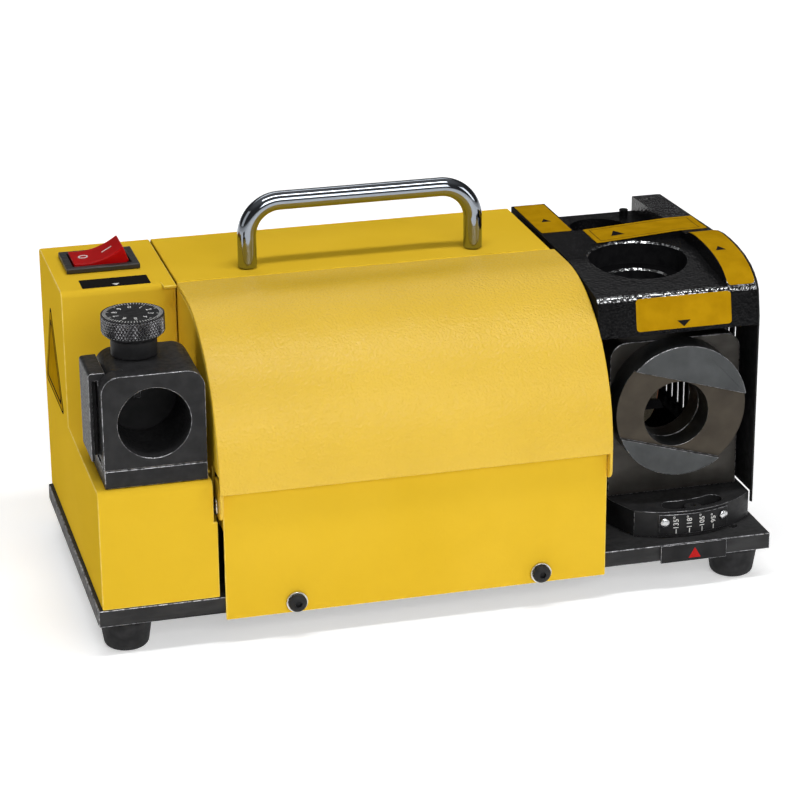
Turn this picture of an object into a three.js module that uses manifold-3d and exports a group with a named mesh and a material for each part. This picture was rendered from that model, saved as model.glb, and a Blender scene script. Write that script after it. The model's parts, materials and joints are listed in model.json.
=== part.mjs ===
// Bench drill bit sharpener: a motor-driven grinding head with an angle-setting seat on the right,
// a chuck-setting fixture and switch on the left, and a hinged collet compartment in the middle.
//
// Millimetres. X runs left to right, Y runs from the front to the back, Z is up.
// Z = 0 is the bench under the feet. The exported group is centred on the origin in X and Y.
// Inside the group, Y = 0 is the front edge of the base plate.

import * as THREE from 'three';
import { mergeVertices } from 'three/addons/utils/BufferGeometryUtils.js';
import Module from 'manifold-3d';

const wasm = await Module();
wasm.setup();

// ---------- driving dimensions ----------

const GAP = 0.3;                 // clearance kept between touching pieces
const SHEET = 1.5;               // thickness of the painted sheet covers

const FOOT_HEIGHT = 15;
const PLATE = { halfLength: 160, depth: 155, bottom: 15, top: 23 };
const BODY_DEPTH = 157;          // back face of the covers and of the wheel housing
const BODY_TOP = 145;            // flat top of the covers

const STEP_TOP = 79.5;           // shelf that carries the setting fixture
const RECESS_DEPTH = 84.7;       // how far back the shelf runs
const LEFT_BOX = { left: -158, right: -104.8 };

const LID = { left: -104.3, right: 79, radius: 70, centreDepth: 65.2, centreHeight: 75 };
const LID_EDGE = { bottom: 74, back: 85 };
const LID_HINGE = { depth: 3.5, height: 66.5 };

const COVER = { left: -103.9, right: 77, front: 85.4 };
const HEM_BOTTOM = 12.2;         // lower edge of the skirt and the rear cover
const SKIRT = { left: -102.5, right: 77.4, top: 73.7, front: -1.5, thick: 1.2 };

const HOUSING = { left: 79.6, right: 157.5 };
const SIDE_COVER = { inner: 157.8, outer: 158.7, front: 20, bottom: 36.3, toeBack: 22, toeBottom: 31 };

const SPINDLE = { depth: 94, height: 82 };
const PIVOT = { x: 121.3, depth: 58 };

const FIXTURE_BORE = { x: -130.7, height: 108.9, radius: 16.35 };
const DIAL = { x: -133.8, depth: 32 };
const SWITCH = { x: -134, depth: 124, pivotHeight: 146.3, tiltDegrees: 15 };

const SCREW_HEAD_FRONT = -5.6;   // foremost point of the machine
const GLAND_REAR = 169;          // rearmost point of the machine
const MIDDLE_DEPTH = (SCREW_HEAD_FRONT + GLAND_REAR) / 2;

// ---------- materials ----------

function paint(color, roughness, metalness) {
  return new THREE.MeshStandardMaterial({ color, roughness, metalness });
}

const YELLOW = paint(0xe0b02c, 0.45, 0);
const BLACK_PAINT = paint(0x1c1c1e, 0.35, 0);
const BLACK_STEEL = paint(0x303234, 0.45, 0.8);
const DARK_STEEL = paint(0x4c4a47, 0.4, 0.9);
const BRIGHT_STEEL = paint(0xc8cacc, 0.3, 1);
const CHROME = paint(0xdfe2e6, 0.08, 1);
const RUBBER = paint(0x222222, 0.85, 0);
const BLACK_PLASTIC = paint(0x1f2022, 0.5, 0);
const RED_PLASTIC = paint(0xb30a1c, 0.25, 0);
const ALUMINIUM = paint(0xb4b6b8, 0.45, 0.9);
const COPPER_TONE = paint(0xa8603c, 0.5, 0.7);
const RACK_PLASTIC = paint(0x2a2a2c, 0.7, 0);

// ---------- solids ----------

// Turns a closed geometry into a solid that can be joined and cut.
function toSolid(geometry) {
  const bare = geometry.clone();
  bare.deleteAttribute('normal');
  bare.deleteAttribute('uv');
  const merged = mergeVertices(bare, 1e-4);
  const mesh = new wasm.Mesh({
    numProp: 3,
    vertProperties: new Float32Array(merged.attributes.position.array),
    triVerts: new Uint32Array(merged.index.array),
  });
  return new wasm.Manifold(mesh);
}

function toGeometry(solid) {
  const mesh = solid.getMesh();
  const geometry = new THREE.BufferGeometry();
  geometry.setAttribute('position', new THREE.BufferAttribute(mesh.vertProperties, 3));
  geometry.setIndex(new THREE.BufferAttribute(mesh.triVerts, 1));
  geometry.computeVertexNormals();
  return geometry;
}

function cut(body, ...tools) {
  return toGeometry(tools.reduce((solid, tool) => solid.subtract(toSolid(tool)), toSolid(body)));
}

function join(body, ...others) {
  return toGeometry(others.reduce((solid, other) => solid.add(toSolid(other)), toSolid(body)));
}

// A block given by its lowest and highest value along each axis.
function block(x0, x1, y0, y1, z0, z1) {
  const geometry = new THREE.BoxGeometry(x1 - x0, y1 - y0, z1 - z0);
  return geometry.translate((x0 + x1) / 2, (y0 + y1) / 2, (z0 + z1) / 2);
}

// A round bar along an axis. The other two coordinates of its centre are given in axis order.
function bar(axis, radius, start, end, [first, second] = [0, 0], sides = 24) {
  const geometry = new THREE.CylinderGeometry(radius, radius, end - start, sides);
  const middle = (start + end) / 2;
  if (axis === 'x') return geometry.rotateZ(-Math.PI / 2).translate(middle, first, second);
  if (axis === 'y') return geometry.translate(first, middle, second);
  return geometry.rotateX(Math.PI / 2).translate(first, second, middle);
}

// An outline extruded along an axis. Its points are (y, z) for x, (x, z) for y, (x, y) for z.
function prism(axis, shape, start, end, curveSegments = 6) {
  const depth = end - start;
  const geometry = new THREE.ExtrudeGeometry(shape, { depth, bevelEnabled: false, curveSegments });
  if (axis === 'x') return geometry.rotateX(Math.PI / 2).rotateZ(Math.PI / 2).translate(start, 0, 0);
  if (axis === 'y') return geometry.rotateX(Math.PI / 2).translate(0, end, 0);
  return geometry.translate(0, 0, start);
}

function outline(points) {
  return new THREE.Shape(points.map(([u, v]) => new THREE.Vector2(u, v)));
}

// An outline whose corners are rounded. Each corner is [u, v, radius].
function roundedOutline(corners, steps = 4) {
  const points = [];
  corners.forEach(([u, v, radius], index) => {
    if (!radius) {
      points.push([u, v]);
      return;
    }
    const corner = new THREE.Vector2(u, v);
    const before = corners[(index + corners.length - 1) % corners.length];
    const after = corners[(index + 1) % corners.length];
    const toBefore = new THREE.Vector2(before[0] - u, before[1] - v).normalize();
    const toAfter = new THREE.Vector2(after[0] - u, after[1] - v).normalize();
    const halfAngle = Math.acos(THREE.MathUtils.clamp(toBefore.dot(toAfter), -1, 1)) / 2;
    const reach = radius / Math.tan(halfAngle);
    const start = corner.clone().addScaledVector(toBefore, reach);
    const end = corner.clone().addScaledVector(toAfter, reach);
    const toCentre = toBefore.clone().add(toAfter).normalize();
    const centre = corner.clone().addScaledVector(toCentre, radius / Math.sin(halfAngle));
    const from = Math.atan2(start.y - centre.y, start.x - centre.x);
    const sweep = start.clone().sub(centre).angleTo(end.clone().sub(centre));
    const turn = Math.sign(start.clone().sub(centre).cross(end.clone().sub(centre)));
    for (let step = 0; step <= steps; step += 1) {
      const angle = from + turn * sweep * (step / steps);
      points.push([centre.x + radius * Math.cos(angle), centre.y + radius * Math.sin(angle)]);
    }
  });
  return outline(points);
}

// Points on a circular arc from one angle to another, both in degrees.
function arcPoints(centreU, centreV, radius, fromDegrees, toDegrees, steps) {
  const points = [];
  for (let step = 0; step <= steps; step += 1) {
    const angle = THREE.MathUtils.degToRad(fromDegrees + (toDegrees - fromDegrees) * (step / steps));
    points.push([centreU + radius * Math.cos(angle), centreV + radius * Math.sin(angle)]);
  }
  return points;
}

// A turned piece about Z. The profile's points are (radius, height) and close on themselves or the axis.
function turned(profile, sides = 24) {
  const points = profile.map(([radius, height]) => new THREE.Vector2(radius, height));
  return new THREE.LatheGeometry(points, sides).rotateX(Math.PI / 2);
}

// A turned piece about X, with points (radius, place along x).
function turnedAlongX(profile, sides = 24) {
  return turned(profile, sides).rotateY(Math.PI / 2);
}

// A closed ring's profile: inner and outer radius between two places along its axis.
function ring(inner, outer, start, end) {
  return [[inner, start], [outer, start], [outer, end], [inner, end], [inner, start]];
}

// A screw along +Z: its head sits below Z = 0 and its shank runs up from Z = 0.
function screw(headRadius, headHeight, shankRadius, length, sides = 10) {
  const crown = headRadius * 0.72;
  return turned([
    [0, -headHeight], [crown, -headHeight], [headRadius, -headHeight * 0.35], [headRadius, 0],
    [shankRadius, 0], [shankRadius, length], [0, length],
  ], sides);
}

// ---------- scene graph ----------

const machine = new THREE.Group();
machine.position.y = -MIDDLE_DEPTH;

function add(name, geometry, material, parent = machine) {
  const mesh = new THREE.Mesh(geometry, material);
  mesh.name = name;
  parent.add(mesh);
  return mesh;
}

// ---------- base plate and feet ----------

const FOOT = { topRadius: 12, bottomRadius: 10.5, x: 146, front: 13, rear: 142 };
const FOOT_SCREW = { headRadius: 3.8, headHeight: 2.8, shankRadius: 2, length: 16, recessDepth: 5 };
const SKIRT_SCREW = { left: -69.9, right: 45.8, height: 17.5, shankRadius: 2, shankLength: 12 };
const REAR_SCREW_X = [-70, 46];
const CLAMP = { angle: 7.1, radius: 43, shankRadius: 2.6, headRadius: 4.2, headHeight: 4.6 };
const PIVOT_PIN_RADIUS = 4;

function clampPlace() {
  const angle = THREE.MathUtils.degToRad(CLAMP.angle);
  return [PIVOT.x + CLAMP.radius * Math.sin(angle), PIVOT.depth - CLAMP.radius * Math.cos(angle)];
}

function basePlate() {
  const { halfLength, depth, bottom, top } = PLATE;
  const plate = block(-halfLength, halfLength, 0, depth, bottom, top);
  const through = (x, y, radius) => bar('z', radius, bottom - 1, top + 1, [x, y], 12);
  const edgeHole = SKIRT_SCREW.shankRadius + GAP;
  const footHoles = [-FOOT.x, FOOT.x].flatMap((x) => [FOOT.front, FOOT.rear].map(
    (y) => through(x, y, FOOT_SCREW.shankRadius + GAP)));
  const frontHoles = [SKIRT_SCREW.left, SKIRT_SCREW.right].map(
    (x) => bar('y', edgeHole, -1, SKIRT_SCREW.shankLength, [x, SKIRT_SCREW.height], 12));
  const rearHoles = REAR_SCREW_X.map(
    (x) => bar('y', edgeHole, depth - SKIRT_SCREW.shankLength, depth + 1, [x, SKIRT_SCREW.height], 12));
  const pivotHole = through(PIVOT.x, PIVOT.depth, PIVOT_PIN_RADIUS + GAP);
  const clampHole = through(...clampPlace(), CLAMP.shankRadius + GAP);
  return cut(plate, ...footHoles, ...frontHoles, ...rearHoles, pivotHole, clampHole);
}

function foot() {
  const ceiling = FOOT_SCREW.recessDepth;
  const holeRadius = FOOT_SCREW.shankRadius + GAP;
  return turned([
    [6, 0], [FOOT.bottomRadius - 1, 0], [FOOT.bottomRadius, 1], [FOOT.topRadius, FOOT_HEIGHT - GAP],
    [holeRadius, FOOT_HEIGHT - GAP], [holeRadius, ceiling], [6, ceiling], [6, 0],
  ], 20);
}

function addBase() {
  add('base_plate', basePlate(), BLACK_STEEL);
  const footGeometry = foot();
  const { headRadius, headHeight, shankRadius, length, recessDepth } = FOOT_SCREW;
  const screwGeometry = screw(headRadius, headHeight, shankRadius, length);
  for (const [depthName, y] of [['front', FOOT.front], ['rear', FOOT.rear]]) {
    for (const [sideName, x] of [['left', -FOOT.x], ['right', FOOT.x]]) {
      const corner = new THREE.Group();
      corner.position.set(x, y, 0);
      machine.add(corner);
      add(`foot_${depthName}_${sideName}`, footGeometry, RUBBER, corner);
      const fastener = add(`foot_screw_${depthName}_${sideName}`, screwGeometry, BRIGHT_STEEL, corner);
      fastener.position.z = recessDepth - GAP;
    }
  }
}

// ---------- left housing with the switch ----------

const BEND = 3;                  // outer radius of the sheet bends
const SWITCH_HOLE = { halfX: 14.8, halfY: 11.6 };
const GLAND = { x: -130, height: 48, radius: 9 };
const EAR_NOTCH = { left: -106.4, back: 14, bottom: 60 };

// The step-shaped side view of the box, pulled in by an inset on its outer faces.
function boxProfile(inset, bottom) {
  const bend = BEND - inset;
  return roundedOutline([
    [inset, bottom], [inset, STEP_TOP - inset, bend],
    [RECESS_DEPTH + inset, STEP_TOP - inset], [RECESS_DEPTH + inset, BODY_TOP - inset, bend],
    [BODY_DEPTH - inset, BODY_TOP - inset, bend], [BODY_DEPTH - inset, bottom],
  ]);
}

function leftHousing() {
  const { left, right } = LEFT_BOX;
  const floor = PLATE.top + GAP;
  const shell = cut(
    prism('x', boxProfile(0, floor), left, right),
    prism('x', boxProfile(SHEET, floor - 1), left + SHEET, right + 1));
  const hem = block(left, right, BODY_DEPTH - SHEET, BODY_DEPTH, HEM_BOTTOM, floor + 1);
  const tab = block(-111, right, RECESS_DEPTH - 3, RECESS_DEPTH + BEND, BODY_TOP - SHEET, BODY_TOP);
  const { x, depth } = SWITCH;
  const { halfX, halfY } = SWITCH_HOLE;
  const switchHole = block(x - halfX, x + halfX, depth - halfY, depth + halfY, BODY_TOP - 9, BODY_TOP + 1);
  const glandHole = bar('y', 6.3, BODY_DEPTH - 5, BODY_DEPTH + 1, [GLAND.x, GLAND.height], 20);
  const notch = block(EAR_NOTCH.left, right + 1, -1, EAR_NOTCH.back, EAR_NOTCH.bottom, STEP_TOP + 1);
  return cut(join(shell, hem, tab), switchHole, glandHole, notch);
}

// The fixed yellow wall beside the setting fixture. It follows the lid just inside its curve.
function innerCheek() {
  const radius = LID.radius - SHEET - 0.5;
  const { centreDepth, centreHeight } = LID;
  const shoulder = 82;
  const rise = shoulder - centreHeight;
  const startAngle = 180 - THREE.MathUtils.radToDeg(Math.asin(rise / radius));
  const floor = PLATE.top + GAP;
  const shape = outline([
    [12.5, floor], [LID_EDGE.back, floor], [LID_EDGE.back, centreHeight + radius],
    ...arcPoints(centreDepth, centreHeight, radius, 90, startAngle, 14),
    [12.5, shoulder],
  ]);
  return prism('x', shape, LID.left, LID.left + SHEET);
}

const BEZEL = { halfX: 17.3, halfY: 13.9, height: 2.5 };
const ROCKER = { halfX: 12.8, halfY: 9.9 };

function switchHousing() {
  const base = BODY_TOP + GAP;
  const bezel = block(-BEZEL.halfX, BEZEL.halfX, -BEZEL.halfY, BEZEL.halfY, base, base + BEZEL.height);
  const bodyX = SWITCH_HOLE.halfX - GAP;
  const bodyY = SWITCH_HOLE.halfY - GAP;
  const body = block(-bodyX, bodyX, -bodyY, bodyY, 121, base + 1);
  const cavityX = ROCKER.halfX + 1;
  const cavityY = ROCKER.halfY + 0.4;
  const cavity = block(-cavityX, cavityX, -cavityY, cavityY, 134, base + BEZEL.height + 1);
  return cut(join(bezel, body), cavity);
}

// The rocker about its pivot, level: a rounded belly and a hollow top with two raised ends.
function rocker() {
  const { halfX, halfY } = ROCKER;
  const top = new THREE.QuadraticBezierCurve(
    new THREE.Vector2(halfX - 0.6, 6), new THREE.Vector2(0, 1.2), new THREE.Vector2(-halfX + 0.6, 6));
  const shape = outline([
    ...arcPoints(0, 0, 9, -160, -20, 6),
    [halfX, -1.5],
    ...top.getPoints(6).map((point) => [point.x, point.y]),
    [-halfX, -1.5],
  ]);
  return prism('y', shape, -halfY, halfY);
}

function cableGland() {
  return turned([
    [0, -16], [5.8, -16], [5.8, 0.5], [GLAND.radius, 0.5], [GLAND.radius, 5], [7.2, 6],
    [6.4, 11.6], [3.4, 11.7], [3.4, -6], [0, -6],
  ], 16).rotateX(-Math.PI / 2);
}

function addLeftEnd() {
  add('left_housing', leftHousing(), YELLOW);
  add('inner_cheek', innerCheek(), YELLOW);
  const panel = new THREE.Group();
  panel.position.set(SWITCH.x, SWITCH.depth, 0);
  machine.add(panel);
  add('switch_housing', switchHousing(), BLACK_PLASTIC, panel);
  const button = add('rocker_button', rocker(), RED_PLASTIC, panel);
  button.position.z = SWITCH.pivotHeight;
  button.rotation.y = -THREE.MathUtils.degToRad(SWITCH.tiltDegrees);
  const gland = add('cable_gland', cableGland(), BLACK_PLASTIC);
  gland.position.set(GLAND.x, BODY_DEPTH + GAP, GLAND.height);
}

// ---------- chuck-setting fixture ----------

const FIXTURE = {
  left: -153.7, right: -107.7, front: 3.3, rear: 44,
  flangeRear: 12.3, bodyLeft: -150, seam: 88.4, top: 131.7, bend: 8,
};
const DIAL_STEM_RADIUS = 5;

// The block's front view: square at the bottom and rounded at the two top corners.
function fixtureFace(left) {
  const { right, seam, top, bend } = FIXTURE;
  return roundedOutline([[left, seam], [right, seam], [right, top, bend], [left, top, bend]], 6);
}

function settingBlock() {
  const { left, front, rear, flangeRear, bodyLeft, top } = FIXTURE;
  const flange = prism('y', fixtureFace(left), front, flangeRear);
  const body = prism('y', fixtureFace(bodyLeft), flangeRear - 1, rear);
  const { x, height, radius } = FIXTURE_BORE;
  const bore = bar('y', radius, front - 1, rear - 5, [x, height], 32);
  const dialHole = bar('z', DIAL_STEM_RADIUS + GAP, height, top + 1, [DIAL.x, DIAL.depth], 20);
  return cut(join(flange, body), bore, dialHole);
}

function dialKnob() {
  return turned([
    [0, 128], [DIAL_STEM_RADIUS, 128], [DIAL_STEM_RADIUS, FIXTURE.top + GAP], [10.4, FIXTURE.top + GAP],
    [10.4, 140], [12, 140], [14.3, 143.8], [14.3, 149.9], [13.5, 150.7], [0, 150.7],
  ], 28);
}

function addFixture() {
  const { left, right, front, rear, seam } = FIXTURE;
  add('setting_base', block(left, right, front, rear, STEP_TOP + GAP, seam - GAP), BLACK_STEEL);
  add('setting_block', settingBlock(), BLACK_STEEL);
  add('side_gib', block(-157.7, -150.3, 12.6, 38, 90, 131), BLACK_STEEL);
  const dial = new THREE.Group();
  dial.position.set(DIAL.x, DIAL.depth, 0);
  machine.add(dial);
  add('dial_knob', dialKnob(), BLACK_STEEL, dial);
  add('web_blade', block(-1.5, 1.5, -4, 4, 112, 127.6), BRIGHT_STEEL, dial);
}

// ---------- centre covers, lid and handle ----------

const HANDLE = { left: -68, right: 42, depth: 98, radius: 4.5, bend: 16, height: 176.5 };
const HANDLE_SCREW_LENGTH = 18;

function centerCover() {
  const { left, right, front } = COVER;
  const back = BODY_DEPTH;
  const bend = BEND - SHEET;
  const lip = BODY_TOP - 9;
  const shape = roundedOutline([
    [front, lip], [front, BODY_TOP, 1], [back, BODY_TOP, BEND], [back, HEM_BOTTOM],
    [back - SHEET, HEM_BOTTOM], [back - SHEET, BODY_TOP - SHEET, bend],
    [front + SHEET, BODY_TOP - SHEET], [front + SHEET, lip],
  ]);
  const handleHoles = [HANDLE.left, HANDLE.right].map(
    (x) => bar('z', 2.8, BODY_TOP - 5, BODY_TOP + 1, [x, HANDLE.depth], 12));
  const screwHoles = REAR_SCREW_X.map(
    (x) => bar('y', 2.4, back - 5, back + 1, [x, SKIRT_SCREW.height], 12));
  return cut(prism('x', shape, left, right), ...handleHoles, ...screwHoles);
}

function frontSkirt() {
  const { left, right, top, front, thick } = SKIRT;
  const panel = block(left, right, front, front + thick, HEM_BOTTOM, top);
  const flange = (x) => block(x, x + SHEET, front, 12, 55, top);
  const pinHole = bar('x', 2.3, left - 1, right + 1, [LID_HINGE.depth, LID_HINGE.height], 12);
  const screwHoles = [SKIRT_SCREW.left, SKIRT_SCREW.right].map(
    (x) => bar('y', 2.4, front - 1, front + 3, [x, SKIRT_SCREW.height], 12));
  return cut(join(panel, flange(left), flange(right - SHEET)), pinHole, ...screwHoles);
}

// A curved sheet with an ear at each end that drops below its lower edge to the hinge screws.
function curvedLid() {
  const { left, right, radius, centreDepth, centreHeight } = LID;
  const inner = radius - SHEET;
  const front = centreDepth - radius;
  const sheet = outline([
    [front, LID_EDGE.bottom],
    ...arcPoints(centreDepth, centreHeight, radius, 180, 90, 18),
    [LID_EDGE.back, centreHeight + radius], [LID_EDGE.back, centreHeight + inner],
    ...arcPoints(centreDepth, centreHeight, inner, 90, 180, 18),
    [front + SHEET, LID_EDGE.bottom],
  ]);
  const ear = roundedOutline([
    [front, LID_EDGE.bottom + 1], [front, 61, 5], [8.8, 61, 5], [8.8, 79, 2], [front + 0.4, 79],
  ]);
  const hole = bar('x', 2.3, left - 1, right + 1, [LID_HINGE.depth, LID_HINGE.height], 12);
  return cut(join(
    prism('x', sheet, left, right),
    prism('x', ear, left, left + SHEET),
    prism('x', ear, right - SHEET, right)), hole);
}

function carryHandle() {
  const { left, right, radius, bend, height } = HANDLE;
  const foot = BODY_TOP + GAP;
  const path = new THREE.CurvePath();
  const corner = (x, side) => [
    new THREE.Vector3(x, 0, height - bend), new THREE.Vector3(x, 0, height),
    new THREE.Vector3(x + side * bend, 0, height),
  ];
  const [leftLow, leftPeak, leftInner] = corner(left, 1);
  const [rightLow, rightPeak, rightInner] = corner(right, -1);
  const roundness = 0.55;
  const bendCurve = (from, peak, to) => new THREE.CubicBezierCurve3(
    from, from.clone().lerp(peak, roundness), to.clone().lerp(peak, roundness), to);
  path.add(new THREE.LineCurve3(new THREE.Vector3(left, 0, foot), leftLow));
  path.add(bendCurve(leftLow, leftPeak, leftInner));
  path.add(new THREE.LineCurve3(leftInner, rightInner));
  path.add(bendCurve(rightInner, rightPeak, rightLow));
  path.add(new THREE.LineCurve3(rightLow, new THREE.Vector3(right, 0, foot)));
  const section = outline(arcPoints(0, 0, radius, 0, 337.5, 15));
  const rod = new THREE.ExtrudeGeometry(section, { steps: 38, extrudePath: path, bevelEnabled: false });
  const threads = [left, right].map(
    (x) => bar('z', 2.3, foot - 1, foot + HANDLE_SCREW_LENGTH - 4, [x, 0], 12));
  return cut(rod, ...threads);
}

function addCentre() {
  add('center_cover', centerCover(), YELLOW);
  add('front_skirt', frontSkirt(), YELLOW);
  add('curved_lid', curvedLid(), YELLOW);
  const handle = add('carry_handle', carryHandle(), CHROME);
  handle.position.y = HANDLE.depth;

  const pin = screw(4, 1.2, 2, 6).rotateY(Math.PI / 2);
  const leftPin = add('lid_pivot_left', pin, BRIGHT_STEEL);
  leftPin.position.set(LID.left - GAP, LID_HINGE.depth, LID_HINGE.height);
  const rightPin = add('lid_pivot_right', pin, BRIGHT_STEEL);
  rightPin.position.set(LID.right + GAP, LID_HINGE.depth, LID_HINGE.height);
  rightPin.rotation.z = Math.PI;

  const washer = turned(ring(2.4, 5, 0, 1), 16).rotateX(-Math.PI / 2);
  const frontScrew = screw(4.25, 2.5, 2, 13, 16).rotateX(-Math.PI / 2);
  const rearScrew = screw(4.25, 2.5, 2, 12).rotateX(Math.PI / 2);
  for (const [side, x, rearX] of [
    ['left', SKIRT_SCREW.left, REAR_SCREW_X[0]], ['right', SKIRT_SCREW.right, REAR_SCREW_X[1]],
  ]) {
    const fixing = new THREE.Group();
    fixing.position.set(x, SKIRT.front - GAP, SKIRT_SCREW.height);
    machine.add(fixing);
    add(`skirt_washer_${side}`, washer, BRIGHT_STEEL, fixing).position.y = -1;
    add(`skirt_screw_${side}`, frontScrew, BLACK_STEEL, fixing).position.y = -1 - GAP;
    add(`rear_screw_${side}`, rearScrew, BLACK_STEEL)
      .position.set(rearX, BODY_DEPTH + GAP, SKIRT_SCREW.height);
    add(`handle_screw_${side}`, screw(4.2, 2.6, 2, HANDLE_SCREW_LENGTH - 3), BLACK_STEEL)
      .position.set(HANDLE[side], HANDLE.depth, BODY_TOP - SHEET - GAP);
  }
}

// ---------- collet compartment ----------

const RACK = { left: -96, right: 72, front: 8, rear: 44, top: 49, holes: 7, holeRadius: 10.7 };

function colletRack() {
  const { left, right, front, rear, top, holes, holeRadius } = RACK;
  const pitch = (right - left) / holes;
  const pockets = [];
  for (let index = 0; index < holes; index += 1) {
    const x = left + pitch * (index + 0.5);
    pockets.push(bar('z', holeRadius, top - 18, top + 1, [x, (front + rear) / 2], 16));
  }
  return cut(block(left, right, front, rear, PLATE.top + GAP, top), ...pockets);
}

// ---------- motor and grinding spindle ----------

const MOTOR = { left: -60, right: 36, outer: 45, inner: 41, capThick: 11.5 };
const BEARING = { inner: 6.3, outer: 16, width: 9 };

function motorCap(face, side) {
  // A dished end cap: a rim against the shell and a boss that carries the bearing.
  const seat = BEARING.outer + GAP;
  const hub = BEARING.inner + 2;
  const at = (distance) => face + side * distance;
  const profile = [
    [hub, at(MOTOR.capThick)], [MOTOR.outer - 4, at(MOTOR.capThick)], [MOTOR.outer, at(7)],
    [MOTOR.outer, at(GAP)], [MOTOR.outer - 9, at(GAP)], [MOTOR.outer - 9, at(4)],
    [seat + 3, at(4)], [seat + 3, at(GAP)], [seat, at(GAP)], [seat, at(MOTOR.capThick - 2)],
    [hub, at(MOTOR.capThick - 2)], [hub, at(MOTOR.capThick)],
  ];
  return turnedAlongX(side > 0 ? profile.reverse() : profile, 24);
}

function bearing() {
  return turnedAlongX(ring(BEARING.inner, BEARING.outer, 0, BEARING.width), 20);
}

function coolingFan() {
  const hub = turnedAlongX(ring(6.3, 12, 0, 9), 12);
  const disc = turnedAlongX(ring(11, 37, 0, 1.5), 20);
  const blades = [];
  const bladeCount = 8;
  for (let index = 0; index < bladeCount; index += 1) {
    const blade = block(1, 9, -0.8, 0.8, 11, 36);
    blades.push(blade.rotateX((index / bladeCount) * 2 * Math.PI));
  }
  return join(disc, hub, ...blades);
}

function motorCradle() {
  const saddle = block(-42, 18, 62, 126, PLATE.top + GAP, 46);
  const seat = bar('x', MOTOR.outer + GAP, -50, 30, [SPINDLE.depth, SPINDLE.height], 32);
  return cut(saddle, seat);
}

const WHEEL = { left: 108, bevelStart: 112, right: 126, radius: 39, bevelRadius: 30.6, bore: 5.3 };

function shaft() {
  return turnedAlongX([
    [0, -69], [6, -69], [6, 86], [9, 86], [9, 107.6], [5, 107.6], [5, 140], [0, 140],
  ], 16);
}

function grindingWheel() {
  const { left, bevelStart, right, radius, bevelRadius, bore } = WHEEL;
  return turnedAlongX([
    [bore, left], [radius, left], [radius, bevelStart], [bevelRadius, right],
    [18, right], [18, right - 4], [bore, right - 4], [bore, left],
  ], 36);
}

function hexNut(acrossFlats, height, boreRadius) {
  const corner = acrossFlats / Math.sqrt(3);
  const nut = new THREE.CylinderGeometry(corner, corner, height, 6).rotateZ(-Math.PI / 2);
  return cut(nut.translate(height / 2, 0, 0), bar('x', boreRadius, -1, height + 1, [0, 0], 16));
}

function addDrive() {
  add('collet_rack', colletRack(), RACK_PLASTIC);
  add('motor_cradle', motorCradle(), ALUMINIUM);
  const drive = new THREE.Group();
  drive.position.set(0, SPINDLE.depth, SPINDLE.height);
  machine.add(drive);
  const shell = turnedAlongX(ring(MOTOR.inner, MOTOR.outer, MOTOR.left, MOTOR.right), 32);
  add('motor_shell', shell, BLACK_PAINT, drive);
  add('motor_cap_drive', motorCap(MOTOR.right, 1), ALUMINIUM, drive);
  add('motor_cap_rear', motorCap(MOTOR.left, -1), ALUMINIUM, drive);
  add('bearing_drive', bearing(), BRIGHT_STEEL, drive).position.x = MOTOR.right + GAP;
  add('bearing_rear', bearing(), BRIGHT_STEEL, drive).position.x = MOTOR.left - GAP - BEARING.width;
  add('rotor_core', turnedAlongX(ring(6.3, 38, -34, 26), 24), DARK_STEEL, drive);
  add('cooling_fan', coolingFan(), BLACK_PLASTIC, drive).position.x = -50;
  add('shaft', shaft(), BRIGHT_STEEL, drive);
  add('grinding_wheel', grindingWheel(), COPPER_TONE, drive);
  const flangeStart = WHEEL.right - 4 + GAP;
  add('wheel_flange', turnedAlongX(ring(5.3, 14, flangeStart, flangeStart + 5), 20), BRIGHT_STEEL, drive);
  add('wheel_nut', hexNut(17, 8, 5.3), BRIGHT_STEEL, drive).position.x = flangeStart + 5 + GAP;
}

// ---------- wheel housing and side cover ----------

const PORT_FRONT = { x: 113, depth: 62.5, rimRadius: 23.4, boreRadius: 15.2, ledge: 134 };
const PORT_REAR = { x: 117.5, depth: 133, boreRadius: 14.5 };
const CASTING = { rearTop: 138, stepDepth: 109, wall: 6, lipBottom: 121, frontWall: 1.5 };
const SILL = { front: 78, top: 43 };       // foot of the casting behind the seat, on the right
const RIM_LEFT = 143.5;
const BRIDGE = { front: 86, left: 97, rise: 2.6 };    // ramp from the flat top up to the rim
const COVER_SCREWS = [[154, 55], [154, 122], [34, 134]];

// Side view of the raised right rim: it climbs from the front lip and runs back nearly level.
const RIM_TOP = [
  [22.5, 137.6], [24.4, 140.4], [28.3, 143.6], [33.3, 146.2], [41, 148.6], [50.6, 150.1],
  [60, 150.8], [68, 150.9], [76, 150], [79, 148.4], [BODY_DEPTH, BODY_TOP],
];

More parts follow.
